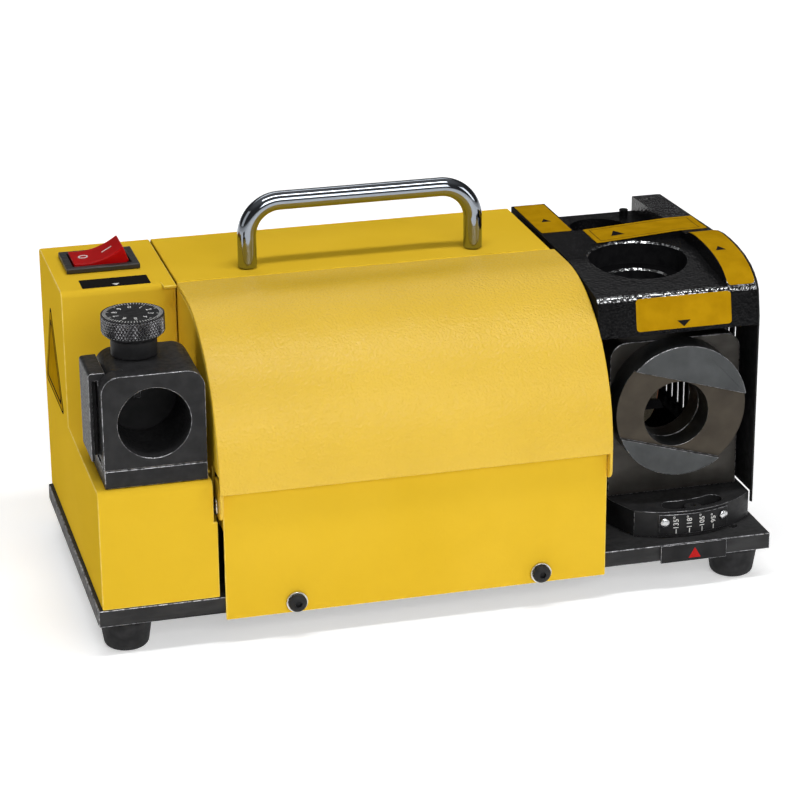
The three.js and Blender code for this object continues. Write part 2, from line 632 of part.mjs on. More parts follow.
function wheelHousing() {
  const { rearTop, stepDepth, wall, lipBottom, frontWall } = CASTING;
  const { left, right } = HOUSING;
  const floor = PLATE.top + GAP;
  const profile = roundedOutline([
    [19.3, lipBottom], [48, lipBottom], [48, floor], [BODY_DEPTH, floor], [BODY_DEPTH, rearTop, 2],
    [stepDepth, rearTop], [stepDepth, BODY_TOP], [66, BODY_TOP, 60], [23, 139.3, 3],
  ]);
  const inside = outline([
    [24.8, floor - 1], [BODY_DEPTH - wall, floor - 1], [BODY_DEPTH - wall, 132], [95, 132],
    [95, 128], [29, 128], [24.8, 112],
  ]);
  const rim = outline([[BODY_DEPTH, rearTop - 2], ...RIM_TOP.slice().reverse(), [30, rearTop - 2]]);
  const strip = block(left, 97, stepDepth - 1, BODY_DEPTH, rearTop - 2, BODY_TOP);
  const frontFlank = block(left, left + frontWall, 20, 49, floor, lipBottom + 2);
  const sill = block(right - wall, right, SILL.front, BODY_DEPTH, floor, SILL.top);
  const bridge = outline([
    [BRIDGE.left, BODY_TOP - 3], [RIM_LEFT + 2, BODY_TOP - 3], [RIM_LEFT + 2, BODY_TOP + BRIDGE.rise],
    [RIM_LEFT, BODY_TOP + BRIDGE.rise], [BRIDGE.left, BODY_TOP],
  ]);
  const guard = outline([
    [left + 1, 70.8], [124.6, 70.8], [122.5, 75], [113.5, 76], [113.5, 100], [left + 1, 100],
  ]);
  const body = join(
    cut(prism('x', profile, left, right), prism('x', inside, left + wall, right + 1)),
    prism('x', rim, RIM_LEFT, right),
    strip,
    frontFlank,
    sill,
    prism('y', bridge, BRIDGE.front, stepDepth),
    prism('y', guard, 52.2, 54.5));
  const recess = bar('z', PORT_FRONT.rimRadius, PORT_FRONT.ledge, 160, [PORT_FRONT.x, PORT_FRONT.depth], 40);
  const frontBore = bar('z', PORT_FRONT.boreRadius, 120, 160, [PORT_FRONT.x, PORT_FRONT.depth], 32);
  const rearBore = bar('z', PORT_REAR.boreRadius, 120, 160, [PORT_REAR.x, PORT_REAR.depth], 32);
  const shaftHole = bar('x', 11, left - 1, left + wall + 1, [SPINDLE.depth, SPINDLE.height], 24);
  const threads = COVER_SCREWS.map((place) => bar('x', 1.9, right - 9, right + 1, place, 10));
  return cut(body, recess, frontBore, rearBore, shaftHole, ...threads);
}

const VENTS = { count: 12, pitch: 8.2, first: 47, width: 2.6, bottom: 44.5, top: 112 };

function sideCover() {
  const { inner, outer, front, bottom, toeBack, toeBottom } = SIDE_COVER;
  const shape = outline([
    [front, toeBottom], [toeBack, toeBottom], [toeBack, bottom], [BODY_DEPTH, bottom],
    ...RIM_TOP.slice().reverse(), [front, 125],
  ]);
  const slots = [];
  for (let index = 0; index < VENTS.count; index += 1) {
    const start = VENTS.first + index * VENTS.pitch;
    slots.push(block(inner - 1, outer + 1, start, start + VENTS.width, VENTS.bottom, VENTS.top));
  }
  const holes = COVER_SCREWS.map((place) => bar('x', 1.9, inner - 1, outer + 1, place, 10));
  return cut(prism('x', shape, inner, outer), ...slots, ...holes);
}

function addGrindingHead() {
  add('wheel_housing', wheelHousing(), BLACK_PAINT);
  add('side_cover', sideCover(), BLACK_PAINT);
  const coverScrew = screw(3.4, 1, 1.6, 8).rotateY(-Math.PI / 2);
  COVER_SCREWS.forEach(([y, z], index) => {
    add(`side_cover_screw_${index + 1}`, coverScrew, BLACK_STEEL)
      .position.set(SIDE_COVER.outer + 0.2, y, z);
  });
}

// ---------- swivelling seat ----------

const SECTOR = { left: -31.5, right: 36, back: 14, radius: 51, bottom: 0.3, top: 13 };
const SEAT = { left: -31.3, right: 33.4, front: -25, back: -13, bottom: 13.3, top: 90.2, bend: 8 };
const SEAT_BORE = { x: -2.8, height: 57.4, radius: 15.9 };    // measured from the pivot
const FLANGE = {
  x: -0.5, height: 59.3, radius: 32, front: -40.3, channel: 2, bandHalf: 16.6, tiltDegrees: -16.5,
};
const SLOT = { from: -7.5, to: 21.7, halfWidth: 4.7, throughHalfWidth: 3.2, depth: 6 };
const SCALE = { inner: 51.3, outer: 52.1, from: -16, to: 23.5, bottom: 2, top: 12 };
const SCALE_SCREWS = [['left', -13.1], ['right', 20.3]];
const SCALE_SCREW_HEIGHT = 8.2;

// A place on a circle about the pivot, with the angle measured from straight ahead towards the right.
function aroundPivot(radius, degrees) {
  const angle = THREE.MathUtils.degToRad(degrees);
  return [radius * Math.sin(angle), -radius * Math.cos(angle)];
}

// A curved band about the pivot with square ends.
function band(inner, outer, from, to, steps) {
  const outside = arcPoints(0, 0, outer, from - 90, to - 90, steps);
  const inside = arcPoints(0, 0, inner, to - 90, from - 90, steps);
  return outline([...outside, ...inside]);
}

function slotCut(halfWidth, bottom, top) {
  const { from, to } = SLOT;
  const arc = band(CLAMP.radius - halfWidth, CLAMP.radius + halfWidth, from, to, 8);
  const middle = prism('z', arc, bottom, top);
  const ends = [from, to].map(
    (degrees) => bar('z', halfWidth, bottom, top, aroundPivot(CLAMP.radius, degrees), 16));
  return join(middle, ...ends);
}

function scaleScrewHoles() {
  return SCALE_SCREWS.map(([, degrees]) => bar('y', 1.4, -60, -46, [0, SCALE_SCREW_HEIGHT], 10)
    .rotateZ(THREE.MathUtils.degToRad(degrees)));
}

function swivelBase() {
  const { left, right, back, radius, bottom, top } = SECTOR;
  const leftAngle = THREE.MathUtils.radToDeg(Math.asin(-24.8 / radius));
  const rightAngle = THREE.MathUtils.radToDeg(Math.asin(right / radius));
  const shape = outline([
    [left, back], [left, -28], ...arcPoints(0, 0, radius, leftAngle - 90, rightAngle - 90, 16), [right, back],
  ]);
  const pinHole = bar('z', PIVOT_PIN_RADIUS + GAP, bottom - 1, top + 1, [0, 0], 16);
  return cut(
    prism('z', shape, bottom, top), pinHole,
    slotCut(SLOT.halfWidth, top - SLOT.depth, top + 1), slotCut(SLOT.throughHalfWidth, bottom - 1, top),
    ...scaleScrewHoles());
}

function seatBlock() {
  const { left, right, front, back, bottom, top, bend } = SEAT;
  const face = roundedOutline([[left, bottom], [right, bottom], [right, top, bend], [left, top, bend]], 6);
  const bore = bar('y', SEAT_BORE.radius, front - 1, back + 1, [SEAT_BORE.x, SEAT_BORE.height], 28);
  return cut(prism('y', face, front, back), bore);
}

// The locating ring on the seat: a disc whose face has a straight channel across its bore.
// The bore and the channel sit a little lower than the disc.
function seatFlange() {
  const { radius, front, channel, bandHalf, tiltDegrees } = FLANGE;
  const discCentre = [FLANGE.x - SEAT_BORE.x, FLANGE.height - SEAT_BORE.height];
  const disc = bar('y', radius, front, SEAT.front - GAP, discCentre, 40);
  const bore = bar('y', SEAT_BORE.radius, front - 1, SEAT.front + 1, [0, 0], 28);
  const groove = block(-radius - 8, radius + 8, front - 1, front + channel, -bandHalf, bandHalf);
  return cut(disc, bore, groove.rotateY(-THREE.MathUtils.degToRad(tiltDegrees)));
}

function addSeat() {
  const seat = new THREE.Group();
  seat.position.set(PIVOT.x, PIVOT.depth, PLATE.top);
  machine.add(seat);
  add('swivel_base', swivelBase(), BLACK_STEEL, seat);
  add('seat_block', seatBlock(), DARK_STEEL, seat);
  const flange = add('seat_flange', seatFlange(), DARK_STEEL, seat);
  flange.position.set(SEAT_BORE.x, 0, SEAT_BORE.height);
  const scale = cut(
    prism('z', band(SCALE.inner, SCALE.outer, SCALE.from, SCALE.to, 14), SCALE.bottom, SCALE.top),
    ...scaleScrewHoles());
  add('scale_plate', scale, BLACK_PAINT, seat);
  const scaleScrew = screw(2.3, 1.3, 1, 4).rotateX(-Math.PI / 2);
  for (const [side, degrees] of SCALE_SCREWS) {
    const fastener = add(`scale_screw_${side}`, scaleScrew, BRIGHT_STEEL, seat);
    const [x, y] = aroundPivot(SCALE.outer + GAP, degrees);
    fastener.position.set(x, y, SCALE_SCREW_HEIGHT);
    fastener.rotation.z = THREE.MathUtils.degToRad(degrees);
  }

  const pin = bar('z', PIVOT_PIN_RADIUS, PLATE.bottom + 0.5, PLATE.top + SECTOR.top - 0.2, [0, 0], 20);
  add('pivot_pin', pin, BRIGHT_STEEL).position.set(PIVOT.x, PIVOT.depth, 0);
  const clampLength = 14;
  const clamp = screw(CLAMP.headRadius, CLAMP.headHeight, CLAMP.shankRadius, clampLength, 12);
  const slotFloor = PLATE.top + SECTOR.top - SLOT.depth + GAP;
  const clampScrew = add('clamp_screw', clamp.rotateX(Math.PI), BLACK_STEEL);
  clampScrew.position.set(...clampPlace(), slotFloor);
  add('index_plate', block(105, 137.6, -1.3, -GAP, 14.2, PLATE.top), BLACK_PAINT);
}

addBase();
addLeftEnd();
addFixture();
addCentre();
addDrive();
addGrindingHead();
addSeat();

export default machine;
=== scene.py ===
import json
import math

import bmesh
import bpy
from mathutils import Matrix, Vector


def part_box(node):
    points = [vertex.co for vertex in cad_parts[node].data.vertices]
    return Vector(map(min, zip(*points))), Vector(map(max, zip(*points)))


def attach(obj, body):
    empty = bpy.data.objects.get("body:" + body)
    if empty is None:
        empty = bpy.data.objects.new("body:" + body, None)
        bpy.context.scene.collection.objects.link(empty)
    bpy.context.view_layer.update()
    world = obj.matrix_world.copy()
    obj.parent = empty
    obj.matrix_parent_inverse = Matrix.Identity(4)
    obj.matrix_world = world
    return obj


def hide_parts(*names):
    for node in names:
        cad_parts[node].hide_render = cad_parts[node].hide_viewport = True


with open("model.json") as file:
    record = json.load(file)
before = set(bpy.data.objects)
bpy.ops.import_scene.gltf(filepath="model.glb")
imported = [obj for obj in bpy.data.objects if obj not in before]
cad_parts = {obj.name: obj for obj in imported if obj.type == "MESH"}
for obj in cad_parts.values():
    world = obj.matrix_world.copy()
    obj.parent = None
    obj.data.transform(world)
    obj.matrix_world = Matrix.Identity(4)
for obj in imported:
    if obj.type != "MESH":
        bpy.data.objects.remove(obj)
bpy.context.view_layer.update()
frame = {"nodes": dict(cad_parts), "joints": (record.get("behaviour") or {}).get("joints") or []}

# ---------- units ----------
# Shapes are worked out in millimetres. X and Z are the frame's own, and Y is measured
# backwards from the front edge of the base plate. SHOP carries them into the frame.

MM = 0.001
SHOP = Matrix.Translation((0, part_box("base_plate")[0].y, 0)) @ Matrix.Scale(MM, 4)
FROM_FRAME = SHOP.inverted()


def corners(node):
    """A CAD node's lowest and highest corner, in millimetres."""
    low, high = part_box(node)
    return FROM_FRAME @ low, FROM_FRAME @ high


def joint_place(name):
    """Where a CAD joint is, in millimetres."""
    joint = next(joint for joint in frame["joints"] if joint["name"] == name)
    return FROM_FRAME @ Vector(joint["pos_m"])


PIVOT = joint_place("seat_swivel")
SPINDLE = joint_place("spindle_spin")


# ---------- outlines ----------

def arc(centre_u, centre_v, radius, start, end, steps):
    """Points on a circular arc from one angle to another, in degrees."""
    points = []
    for step in range(steps + 1):
        angle = math.radians(start + (end - start) * step / steps)
        points.append((centre_u + radius * math.cos(angle), centre_v + radius * math.sin(angle)))
    return points


def rounded(outline, steps=8):
    """An outline whose corners are rounded. A corner is (u, v) or (u, v, radius)."""
    points = []
    count = len(outline)
    for index, corner in enumerate(outline):
        here = Vector(corner[:2])
        radius = corner[2] if len(corner) > 2 else 0
        if not radius:
            points.append(tuple(here))
            continue
        to_before = (Vector(outline[index - 1][:2]) - here).normalized()
        to_after = (Vector(outline[(index + 1) % count][:2]) - here).normalized()
        half = to_before.angle(to_after) / 2
        start = here + to_before * (radius / math.tan(half))
        centre = here + (to_before + to_after).normalized() * (radius / math.sin(half))
        first = start - centre
        sweep = math.pi - 2 * half
        turn = 1 if to_after.cross(to_before) > 0 else -1
        for step in range(steps + 1):
            angle = turn * sweep * step / steps
            spun = Matrix.Rotation(angle, 2) @ first
            points.append(tuple(centre + spun))
    return points


def softened(outline, radius, steps):
    """An outline whose corners all have the same radius."""
    return rounded([(u, v, radius) for u, v in outline], steps)


def rectangle(u0, u1, v0, v1, radius=0.0):
    return softened([(u0, v0), (u1, v0), (u1, v1), (u0, v1)], radius, 6)


def arched(left, right, bottom, top):
    """A rectangle with its two upper corners rounded."""
    bend = 8
    return rounded([(left, bottom), (right, bottom), (right, top, bend), (left, top, bend)], 14)


# ---------- solids ----------

def to_object(bm):
    bmesh.ops.recalc_face_normals(bm, faces=bm.faces)
    mesh = bpy.data.meshes.new("shape")
    bm.to_mesh(mesh)
    bm.free()
    shape = bpy.data.objects.new("shape", mesh)
    bpy.context.scene.collection.objects.link(shape)
    return shape


def prism(axis, outline, start, end):
    """An outline extruded along an axis: (y, z) for x, (x, z) for y and (x, y) for z."""
    places = {
        "x": lambda u, v, w: (w, u, v),
        "y": lambda u, v, w: (u, w, v),
        "z": lambda u, v, w: (u, v, w),
    }
    place = places[axis]
    bm = bmesh.new()
    near = [bm.verts.new(place(u, v, start)) for u, v in outline]
    far = [bm.verts.new(place(u, v, end)) for u, v in outline]
    bm.faces.new(near)
    bm.faces.new(far)
    for index in range(len(outline)):
        bm.faces.new((near[index - 1], near[index], far[index], far[index - 1]))
    return to_object(bm)


def block(x0, x1, y0, y1, z0, z1):
    return prism("z", [(x0, y0), (x1, y0), (x1, y1), (x0, y1)], z0, z1)


def bar(axis, radius, start, end, centre=(0, 0), sides=96):
    """A round bar. Its centre is given by the other two coordinates, in axis order."""
    return prism(axis, arc(*centre, radius, 0, 360 * (sides - 1) / sides, sides - 1), start, end)


def bridge(bm, first, second):
    """Joins two rings of points with four-cornered faces."""
    for index in range(len(first)):
        after = (index + 1) % len(first)
        bm.faces.new((first[index], first[after], second[after], second[index]))


def lathe(profile, sides=72):
    """Turns (radius, height) points about Z. A profile off the axis closes on itself."""
    bm = bmesh.new()
    rows = []
    for radius, height in profile:
        turns = 1 if radius < 1e-6 else sides
        row = []
        for index in range(turns):
            angle = 2 * math.pi * index / sides
            row.append(bm.verts.new((radius * math.cos(angle), radius * math.sin(angle), height)))
        rows.append(row)
    if profile[0][0] > 1e-6 and profile[-1][0] > 1e-6:
        rows.append(rows[0])
    for lower, upper in zip(rows, rows[1:]):
        for index in range(sides):
            after = (index + 1) % sides
            ring = [lower[index % len(lower)], lower[after % len(lower)],
                    upper[after % len(upper)], upper[index % len(upper)]]
            face = list(dict.fromkeys(ring))
            if len(face) > 2:
                bm.faces.new(face)
    return to_object(bm)


def tube(inner, outer, start, end, fillet=0.4, sides=72):
    """A turned ring with rounded corners."""
    return lathe(rounded([(inner, start, fillet), (outer, start, fillet),
                          (outer, end, fillet), (inner, end, fillet)], 3), sides)


def move(shape, x=0.0, y=0.0, z=0.0):
    shape.data.transform(Matrix.Translation((x, y, z)))
    return shape


def spin(shape, degrees, axis):
    shape.data.transform(Matrix.Rotation(math.radians(degrees), 4, axis))
    return shape


def along(shape, axis):
    """Lays a shape made about +Z along another direction: +X, -X, +Y, -Y or -Z."""
    turns = {"+X": (90, "Y"), "-X": (-90, "Y"), "+Y": (-90, "X"), "-Y": (90, "X"),
             "-Z": (180, "X"), "+Z": (0, "X")}
    return spin(shape, *turns[axis])


def apply_modifiers(shape):
    bpy.context.view_layer.update()
    graph = bpy.context.evaluated_depsgraph_get()
    mesh = bpy.data.meshes.new_from_object(shape.evaluated_get(graph))
    shape.modifiers.clear()
    shape.data = mesh
    return shape


def combine(base, tools, operation):
    for tool in tools:
        modifier = base.modifiers.new("combine", "BOOLEAN")
        modifier.operation = operation
        modifier.solver = "EXACT"
        modifier.object = tool
    apply_modifiers(base)
    for tool in tools:
        bpy.data.objects.remove(tool)
    return base


def cut(base, *tools):
    return combine(base, tools, "DIFFERENCE")


def join(base, *others):
    return combine(base, others, "UNION")


def gather(base, *others):
    """Puts loose shapes into one mesh without joining their surfaces."""
    bm = bmesh.new()
    for shape in (base, *others):
        bm.from_mesh(shape.data)
    bm.to_mesh(base.data)
    bm.free()
    for shape in others:
        bpy.data.objects.remove(shape)
    return base


def without_slivers(shape, size):
    """Closes the very short edges that cutting leaves, so that no sliver shades badly."""
    bm = bmesh.new()
    bm.from_mesh(shape.data)
    bmesh.ops.dissolve_degenerate(bm, edges=bm.edges, dist=size)
    bm.to_mesh(shape.data)
    bm.free()


def refined(node):
    """A copy of a CAD node in millimetres, with its flat faces whole again."""
    mesh = frame["nodes"][node].data.copy()
    mesh.transform(FROM_FRAME)
    bm = bmesh.new()
    bm.from_mesh(mesh)
    bmesh.ops.remove_doubles(bm, verts=bm.verts, dist=0.003)
    bmesh.ops.dissolve_limit(bm, angle_limit=math.radians(0.6), verts=bm.verts, edges=bm.edges)
    shape = to_object(bm)
    shape.data.materials.clear()
    return shape


# ---------- pieces ----------

def weigh_edges(mesh, degrees, inner):
    """Marks the edges to round: those that stick out and, if inner is set, the hollow ones too."""
    bm = bmesh.new()
    bm.from_mesh(mesh)
    weight = bm.edges.layers.float.new("bevel_weight_edge")
    for edge in bm.edges:
        if len(edge.link_faces) == 2 and (inner or edge.is_convex):
            if edge.calc_face_angle() > math.radians(degrees):
                edge[weight] = 1.0
    bm.to_mesh(mesh)
    bm.free()


def piece(shape, name, body, finishes, replaces=(), ease=0.0, segments=2, angle=30, flat=True,
          clamp=False, inner=False):
    """Rounds a shape's edges, dresses it and hangs it on its CAD body.

    finishes is the main material and, where edges are eased, the material of the eased edges, painted
    lighter: wear, and a painted highlight along the edge.
    """
    shape.name = name
    shape.data.materials.clear()
    for finish in finishes:
        shape.data.materials.append(finish)
    for polygon in shape.data.polygons:
        polygon.use_smooth = True
    if ease:
        weigh_edges(shape.data, angle, inner)
        bevel = shape.modifiers.new("ease", "BEVEL")
        bevel.width = ease
        bevel.segments = segments
        bevel.limit_method = "WEIGHT"
        bevel.use_clamp_overlap = clamp
        bevel.material = len(finishes) - 1 if len(finishes) > 1 else -1
    if flat:
        weighted = shape.modifiers.new("flat", "WEIGHTED_NORMAL")
        weighted.keep_sharp = True
        shape.data.set_sharp_from_angle(angle=math.radians(50 if ease else angle))
    apply_modifiers(shape)
    shape.data.name = name
    shape.data.transform(SHOP)
    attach(shape, body)
    if replaces:
        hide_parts(*replaces)
    return shape


def from_cad(node, name, body, finishes, ease, segments=2):
    """A piece with a CAD node's own shape and eased edges."""
    piece(refined(node), name, body, finishes, [node], ease, segments)


# ---------- materials ----------

class Finish:
    """A material being built, with textures laid out in object space."""

    def __init__(self, name, color, roughness, metallic=0.0, **sockets):
        self.material = bpy.data.materials.new(name)
        self.material.use_nodes = True
        self.tree = self.material.node_tree
        self.shader = self.tree.nodes["Principled BSDF"]
        self.shader.inputs["Base Color"].default_value = (*color, 1)
        self.shader.inputs["Roughness"].default_value = roughness
        self.shader.inputs["Metallic"].default_value = metallic
        for socket, value in sockets.items():
            self.shader.inputs[socket.replace("_", " ")].default_value = value
        self.coordinates = self.tree.nodes.new("ShaderNodeTexCoord").outputs["Object"]
        self.normal = None

    def link(self, source, target):
        self.tree.links.new(source, target)

    def stretched(self, stretch):
        mapping = self.tree.nodes.new("ShaderNodeMapping")
        mapping.inputs["Scale"].default_value = stretch
        self.link(self.coordinates, mapping.inputs["Vector"])
        return mapping.outputs["Vector"]

    def noise(self, size, detail=3.0, stretch=None, distortion=0.0):
        """Soft blotches about size millimetres across."""
        texture = self.tree.nodes.new("ShaderNodeTexNoise")
        texture.inputs["Scale"].default_value = 1 / (size * MM)
        texture.inputs["Detail"].default_value = detail
        texture.inputs["Distortion"].default_value = distortion
        self.link(self.stretched(stretch) if stretch else self.coordinates, texture.inputs["Vector"])
        return texture.outputs["Fac"]

    def cells(self, size, smoothness=0.6):
        """Rounded cells about size millimetres across."""
        texture = self.tree.nodes.new("ShaderNodeTexVoronoi")
        texture.feature = "SMOOTH_F1"
        texture.inputs["Scale"].default_value = 1 / (size * MM)
        texture.inputs["Smoothness"].default_value = smoothness
        self.link(self.coordinates, texture.inputs["Vector"])
        return texture.outputs["Distance"]

    def rings(self, centre, axis, size):
        """Fine turning marks, circles about an axis through centre, size millimetres apart."""
        mapping = self.tree.nodes.new("ShaderNodeMapping")
        mapping.inputs["Location"].default_value = tuple(-value for value in centre)
        self.link(self.coordinates, mapping.inputs["Vector"])
        texture = self.tree.nodes.new("ShaderNodeTexWave")
        texture.wave_type = "RINGS"
        texture.rings_direction = axis
        texture.inputs["Scale"].default_value = 1 / (size * MM) / math.pi
        texture.inputs["Distortion"].default_value = 1.2
        texture.inputs["Detail"].default_value = 2.0
        self.link(mapping.outputs["Vector"], texture.inputs["Vector"])
        return texture.outputs["Fac"]

    def texture(self, source):
        """A texture's output. A plain number stands for soft blotches of that size."""
        return self.noise(source) if isinstance(source, (int, float)) else source

    def ranged(self, source, low, high, start, end):
        """A varying value squeezed between low and high."""
        mapped = self.tree.nodes.new("ShaderNodeMapRange")
        mapped.inputs["From Min"].default_value = start
        mapped.inputs["From Max"].default_value = end
        mapped.inputs["To Min"].default_value = low
        mapped.inputs["To Max"].default_value = high
        self.link(self.texture(source), mapped.inputs["Value"])
        return mapped.outputs["Result"]

    def tint(self, source, dark, light, start=0.35, end=0.65):
        """Colours the surface between two tones."""
        factor = self.ranged(source, 0, 1, start, end)
        mix = self.tree.nodes.new("ShaderNodeMix")
        mix.data_type = "RGBA"   # its colours are inputs 6 and 7 and output 2
        mix.inputs[6].default_value = (*dark, 1)
        mix.inputs[7].default_value = (*light, 1)
        self.link(factor, mix.inputs["Factor"])
        self.link(mix.outputs[2], self.shader.inputs["Base Color"])

    def gloss(self, source, low, high):
        """Varies the roughness between low and high."""
        self.link(self.ranged(source, low, high, 0.35, 0.65), self.shader.inputs["Roughness"])

    def relief(self, source, depth, strength):
        """Adds bumps of about depth millimetres on top of any that are there."""
        bump = self.tree.nodes.new("ShaderNodeBump")
        bump.inputs["Strength"].default_value = strength
        bump.inputs["Distance"].default_value = depth * MM
        self.link(self.texture(source), bump.inputs["Height"])
        if self.normal:
            self.link(self.normal, bump.inputs["Normal"])
        self.normal = bump.outputs["Normal"]
        self.link(self.normal, self.shader.inputs["Normal"])


def yellow_paint(name, index, peel):
    """Powder coat with a fine orange peel. A higher refractive index makes it shinier."""
    finish = Finish(name, (0.78, 0.50, 0.030), 0.36, IOR=index)
    finish.tint(60, (0.76, 0.485, 0.027), (0.80, 0.515, 0.034))
    finish.gloss(1.6, 0.28, 0.44)
    finish.relief(finish.noise(1.1, 2.0), 0.24 * peel, 0.8)
    finish.relief(finish.cells(1.6, 0.9), 0.16 * peel, 0.5)
    return finish.material


def yellow_edge():
    """The same coat on the eased sheet edges, painted lighter: the coat thinning there, and a painted
    highlight along the edge.
    """
    finish = Finish("yellow_edge", (0.90, 0.64, 0.09), 0.30, IOR=1.25)
    # painted highlight: the lighter yellow stands in for the light that the bent edges catch
    finish.tint(4, (0.84, 0.57, 0.05), (0.93, 0.70, 0.14))
    finish.relief(finish.noise(1.2, 2.0), 0.05, 0.4)
    return finish.material


def crinkle_paint():
    """Glossy black wrinkle paint on the casting."""
    finish = Finish("black_crinkle_paint", (0.006, 0.006, 0.0065), 0.20, IOR=1.25)
    finish.tint(14, (0.004, 0.004, 0.0045), (0.006, 0.006, 0.0066))
    finish.gloss(2.2, 0.12, 0.24)
    finish.relief(finish.cells(1.1, 0.5), 0.28, 0.6)
    finish.relief(finish.noise(0.7, distortion=0.6), 0.10, 0.4)
    return finish.material


def crease_paint():
    """Painted glints: light grey metal in noisy patches on the casting's crease and port rims, painted as
    the short bright strokes where the wrinkles catch the light.
    """
    finish = Finish("painted_crease_glints", (0.30, 0.30, 0.30), 0.22, 0.9)
    # painted highlight: the light patches of this tint are the glints
    finish.tint(finish.noise(1.1, distortion=0.8), (0.008, 0.008, 0.009), (0.68, 0.69, 0.70),
                0.46, 0.62)
    finish.relief(finish.noise(0.7, distortion=0.6), 0.14, 0.7)
    return finish.material


def flat_black_paint():
    """Satin black paint on thin plates."""
    finish = Finish("satin_black_paint", (0.013, 0.013, 0.014), 0.45, IOR=1.25)
    finish.tint(9, (0.010, 0.010, 0.011), (0.019, 0.019, 0.020))
    finish.gloss(3, 0.34, 0.50)
    finish.relief(0.5, 0.05, 0.5)
    return finish.material


def matte_black_paint():
    """Thin dull paint in the casting's recesses and on its hidden walls."""
    finish = Finish("matte_black_paint", (0.009, 0.009, 0.010), 0.6, IOR=1.08)
    finish.tint(4, (0.007, 0.007, 0.008), (0.012, 0.012, 0.013))
    finish.relief(0.8, 0.08, 0.5)
    return finish.material


def black_oxide():
    """Machined steel, blackened and oiled."""
    finish = Finish("black_oxide_steel", (0.024, 0.024, 0.025), 0.42, IOR=1.22)
    finish.tint(finish.noise(7, 4.0), (0.019, 0.019, 0.020), (0.029, 0.029, 0.030))
    finish.gloss(finish.noise(2.5, 4.0, stretch=(1, 1, 3)), 0.34, 0.52)
    finish.relief(finish.noise(0.35, 2.0, stretch=(0.25, 1, 1)), 0.025, 0.5)
    return finish.material


def worn_black_edge():
    """The edge of a blackened piece, rubbed bright in places and painted lighter as a highlight along the
    edge.
    """
    finish = Finish("worn_black_edge", (0.26, 0.26, 0.27), 0.30, 0.85)
    # painted highlight: the light patches are both rubbed steel and the light that edges catch
    finish.tint(finish.noise(2.2, 4.0), (0.09, 0.09, 0.095), (0.48, 0.48, 0.50), 0.38, 0.62)
    finish.gloss(1.0, 0.26, 0.42)
    return finish.material


def knurled_steel():
    """Blackened knurling, bright on its peaks because it is handled."""
    finish = Finish("knurled_steel", (0.16, 0.16, 0.165), 0.22, 0.95)
    finish.tint(finish.noise(2.0, 2.0), (0.12, 0.12, 0.125), (0.20, 0.20, 0.205))
    return finish.material


def plate_steel():
    """Blackened plate with rolling marks."""
    finish = Finish("blackened_plate", (0.034, 0.034, 0.035), 0.48, IOR=1.22)
    finish.tint(finish.noise(5, 5.0, stretch=(0.3, 1, 1)), (0.026, 0.026, 0.027), (0.042, 0.042, 0.043))
    finish.gloss(3.0, 0.38, 0.58)
    finish.relief(finish.noise(0.9, 3.0, stretch=(0.3, 1, 1)), 0.06, 0.55)
    return finish.material


def dark_steel():
    """Darkened steel with milling marks."""
    finish = Finish("dark_milled_steel", (0.050, 0.047, 0.042), 0.38, 0.7)
    finish.tint(finish.noise(10, 4.0), (0.042, 0.038, 0.033), (0.058, 0.054, 0.048))
    finish.gloss(finish.noise(1.6, 3.0, stretch=(0.15, 1, 1)), 0.30, 0.48)
    finish.relief(finish.noise(0.35, 2.0, stretch=(0.08, 1, 1)), 0.03, 0.6)
    return finish.material


def turned_steel(name, color, centre):
    """Darkened steel with the fine circles that a lathe leaves, and the sheen that they give."""
    finish = Finish(name, color, 0.36, 0.85, Anisotropic=0.75)
    tangent = finish.tree.nodes.new("ShaderNodeTangent")
    tangent.direction_type = "RADIAL"
    tangent.axis = "Y"
    finish.link(tangent.outputs["Tangent"], finish.shader.inputs["Tangent"])
    darker = tuple(value * 0.82 for value in color)
    lighter = tuple(value * 1.15 for value in color)
    finish.tint(finish.noise(12, 4.0), darker, lighter)
    finish.gloss(4.0, 0.30, 0.42)
    finish.relief(finish.rings(centre, "Y", 0.45), 0.03, 0.5)
    return finish.material


def bright_steel():
    finish = Finish("bright_steel", (0.60, 0.61, 0.62), 0.28, 1.0)
    finish.gloss(1.5, 0.20, 0.36)
    finish.relief(finish.noise(0.4, 2.0), 0.02, 0.4)
    return finish.material


def chrome():
    finish = Finish("polished_chrome", (0.29, 0.315, 0.35), 0.06, 1.0)
    finish.gloss(6.0, 0.04, 0.10)
    finish.relief(finish.noise(9.0, 1.0), 0.02, 0.25)
    return finish.material


def rubber():
    finish = Finish("black_rubber", (0.018, 0.018, 0.019), 0.62, IOR=1.2)
    finish.tint(5, (0.017, 0.017, 0.018), (0.030, 0.030, 0.031))
    finish.relief(0.6, 0.07, 0.6)
    return finish.material


def black_plastic():
    finish = Finish("black_moulded_plastic", (0.018, 0.018, 0.019), 0.40)
    finish.gloss(2.5, 0.34, 0.48)
    finish.relief(finish.noise(0.5, 2.0), 0.04, 0.5)
    return finish.material


def red_plastic():
    """Glossy red, a little translucent."""
    finish = Finish("red_rocker_plastic", (0.40, 0.002, 0.002), 0.34, IOR=1.25,
                    Subsurface_Weight=0.2, Subsurface_Scale=0.004)
    finish.tint(18, (0.40, 0.0006, 0.0012), (0.48, 0.001, 0.002))
    finish.relief(3.0, 0.02, 0.3)
    return finish.material


def aluminium():
    finish = Finish("cast_aluminium", (0.56, 0.57, 0.58), 0.42, 1.0)
    finish.tint(finish.noise(3, 4.0), (0.46, 0.47, 0.48), (0.62, 0.63, 0.64))
    finish.relief(0.7, 0.08, 0.6)
    return finish.material


def copper():
    finish = Finish("copper_toned_wheel", (0.50, 0.20, 0.09), 0.40, 0.7)
    finish.tint(4, (0.40, 0.15, 0.07), (0.62, 0.27, 0.13))
    finish.relief(finish.noise(0.6, 2.0), 0.03, 0.5)
    return finish.material


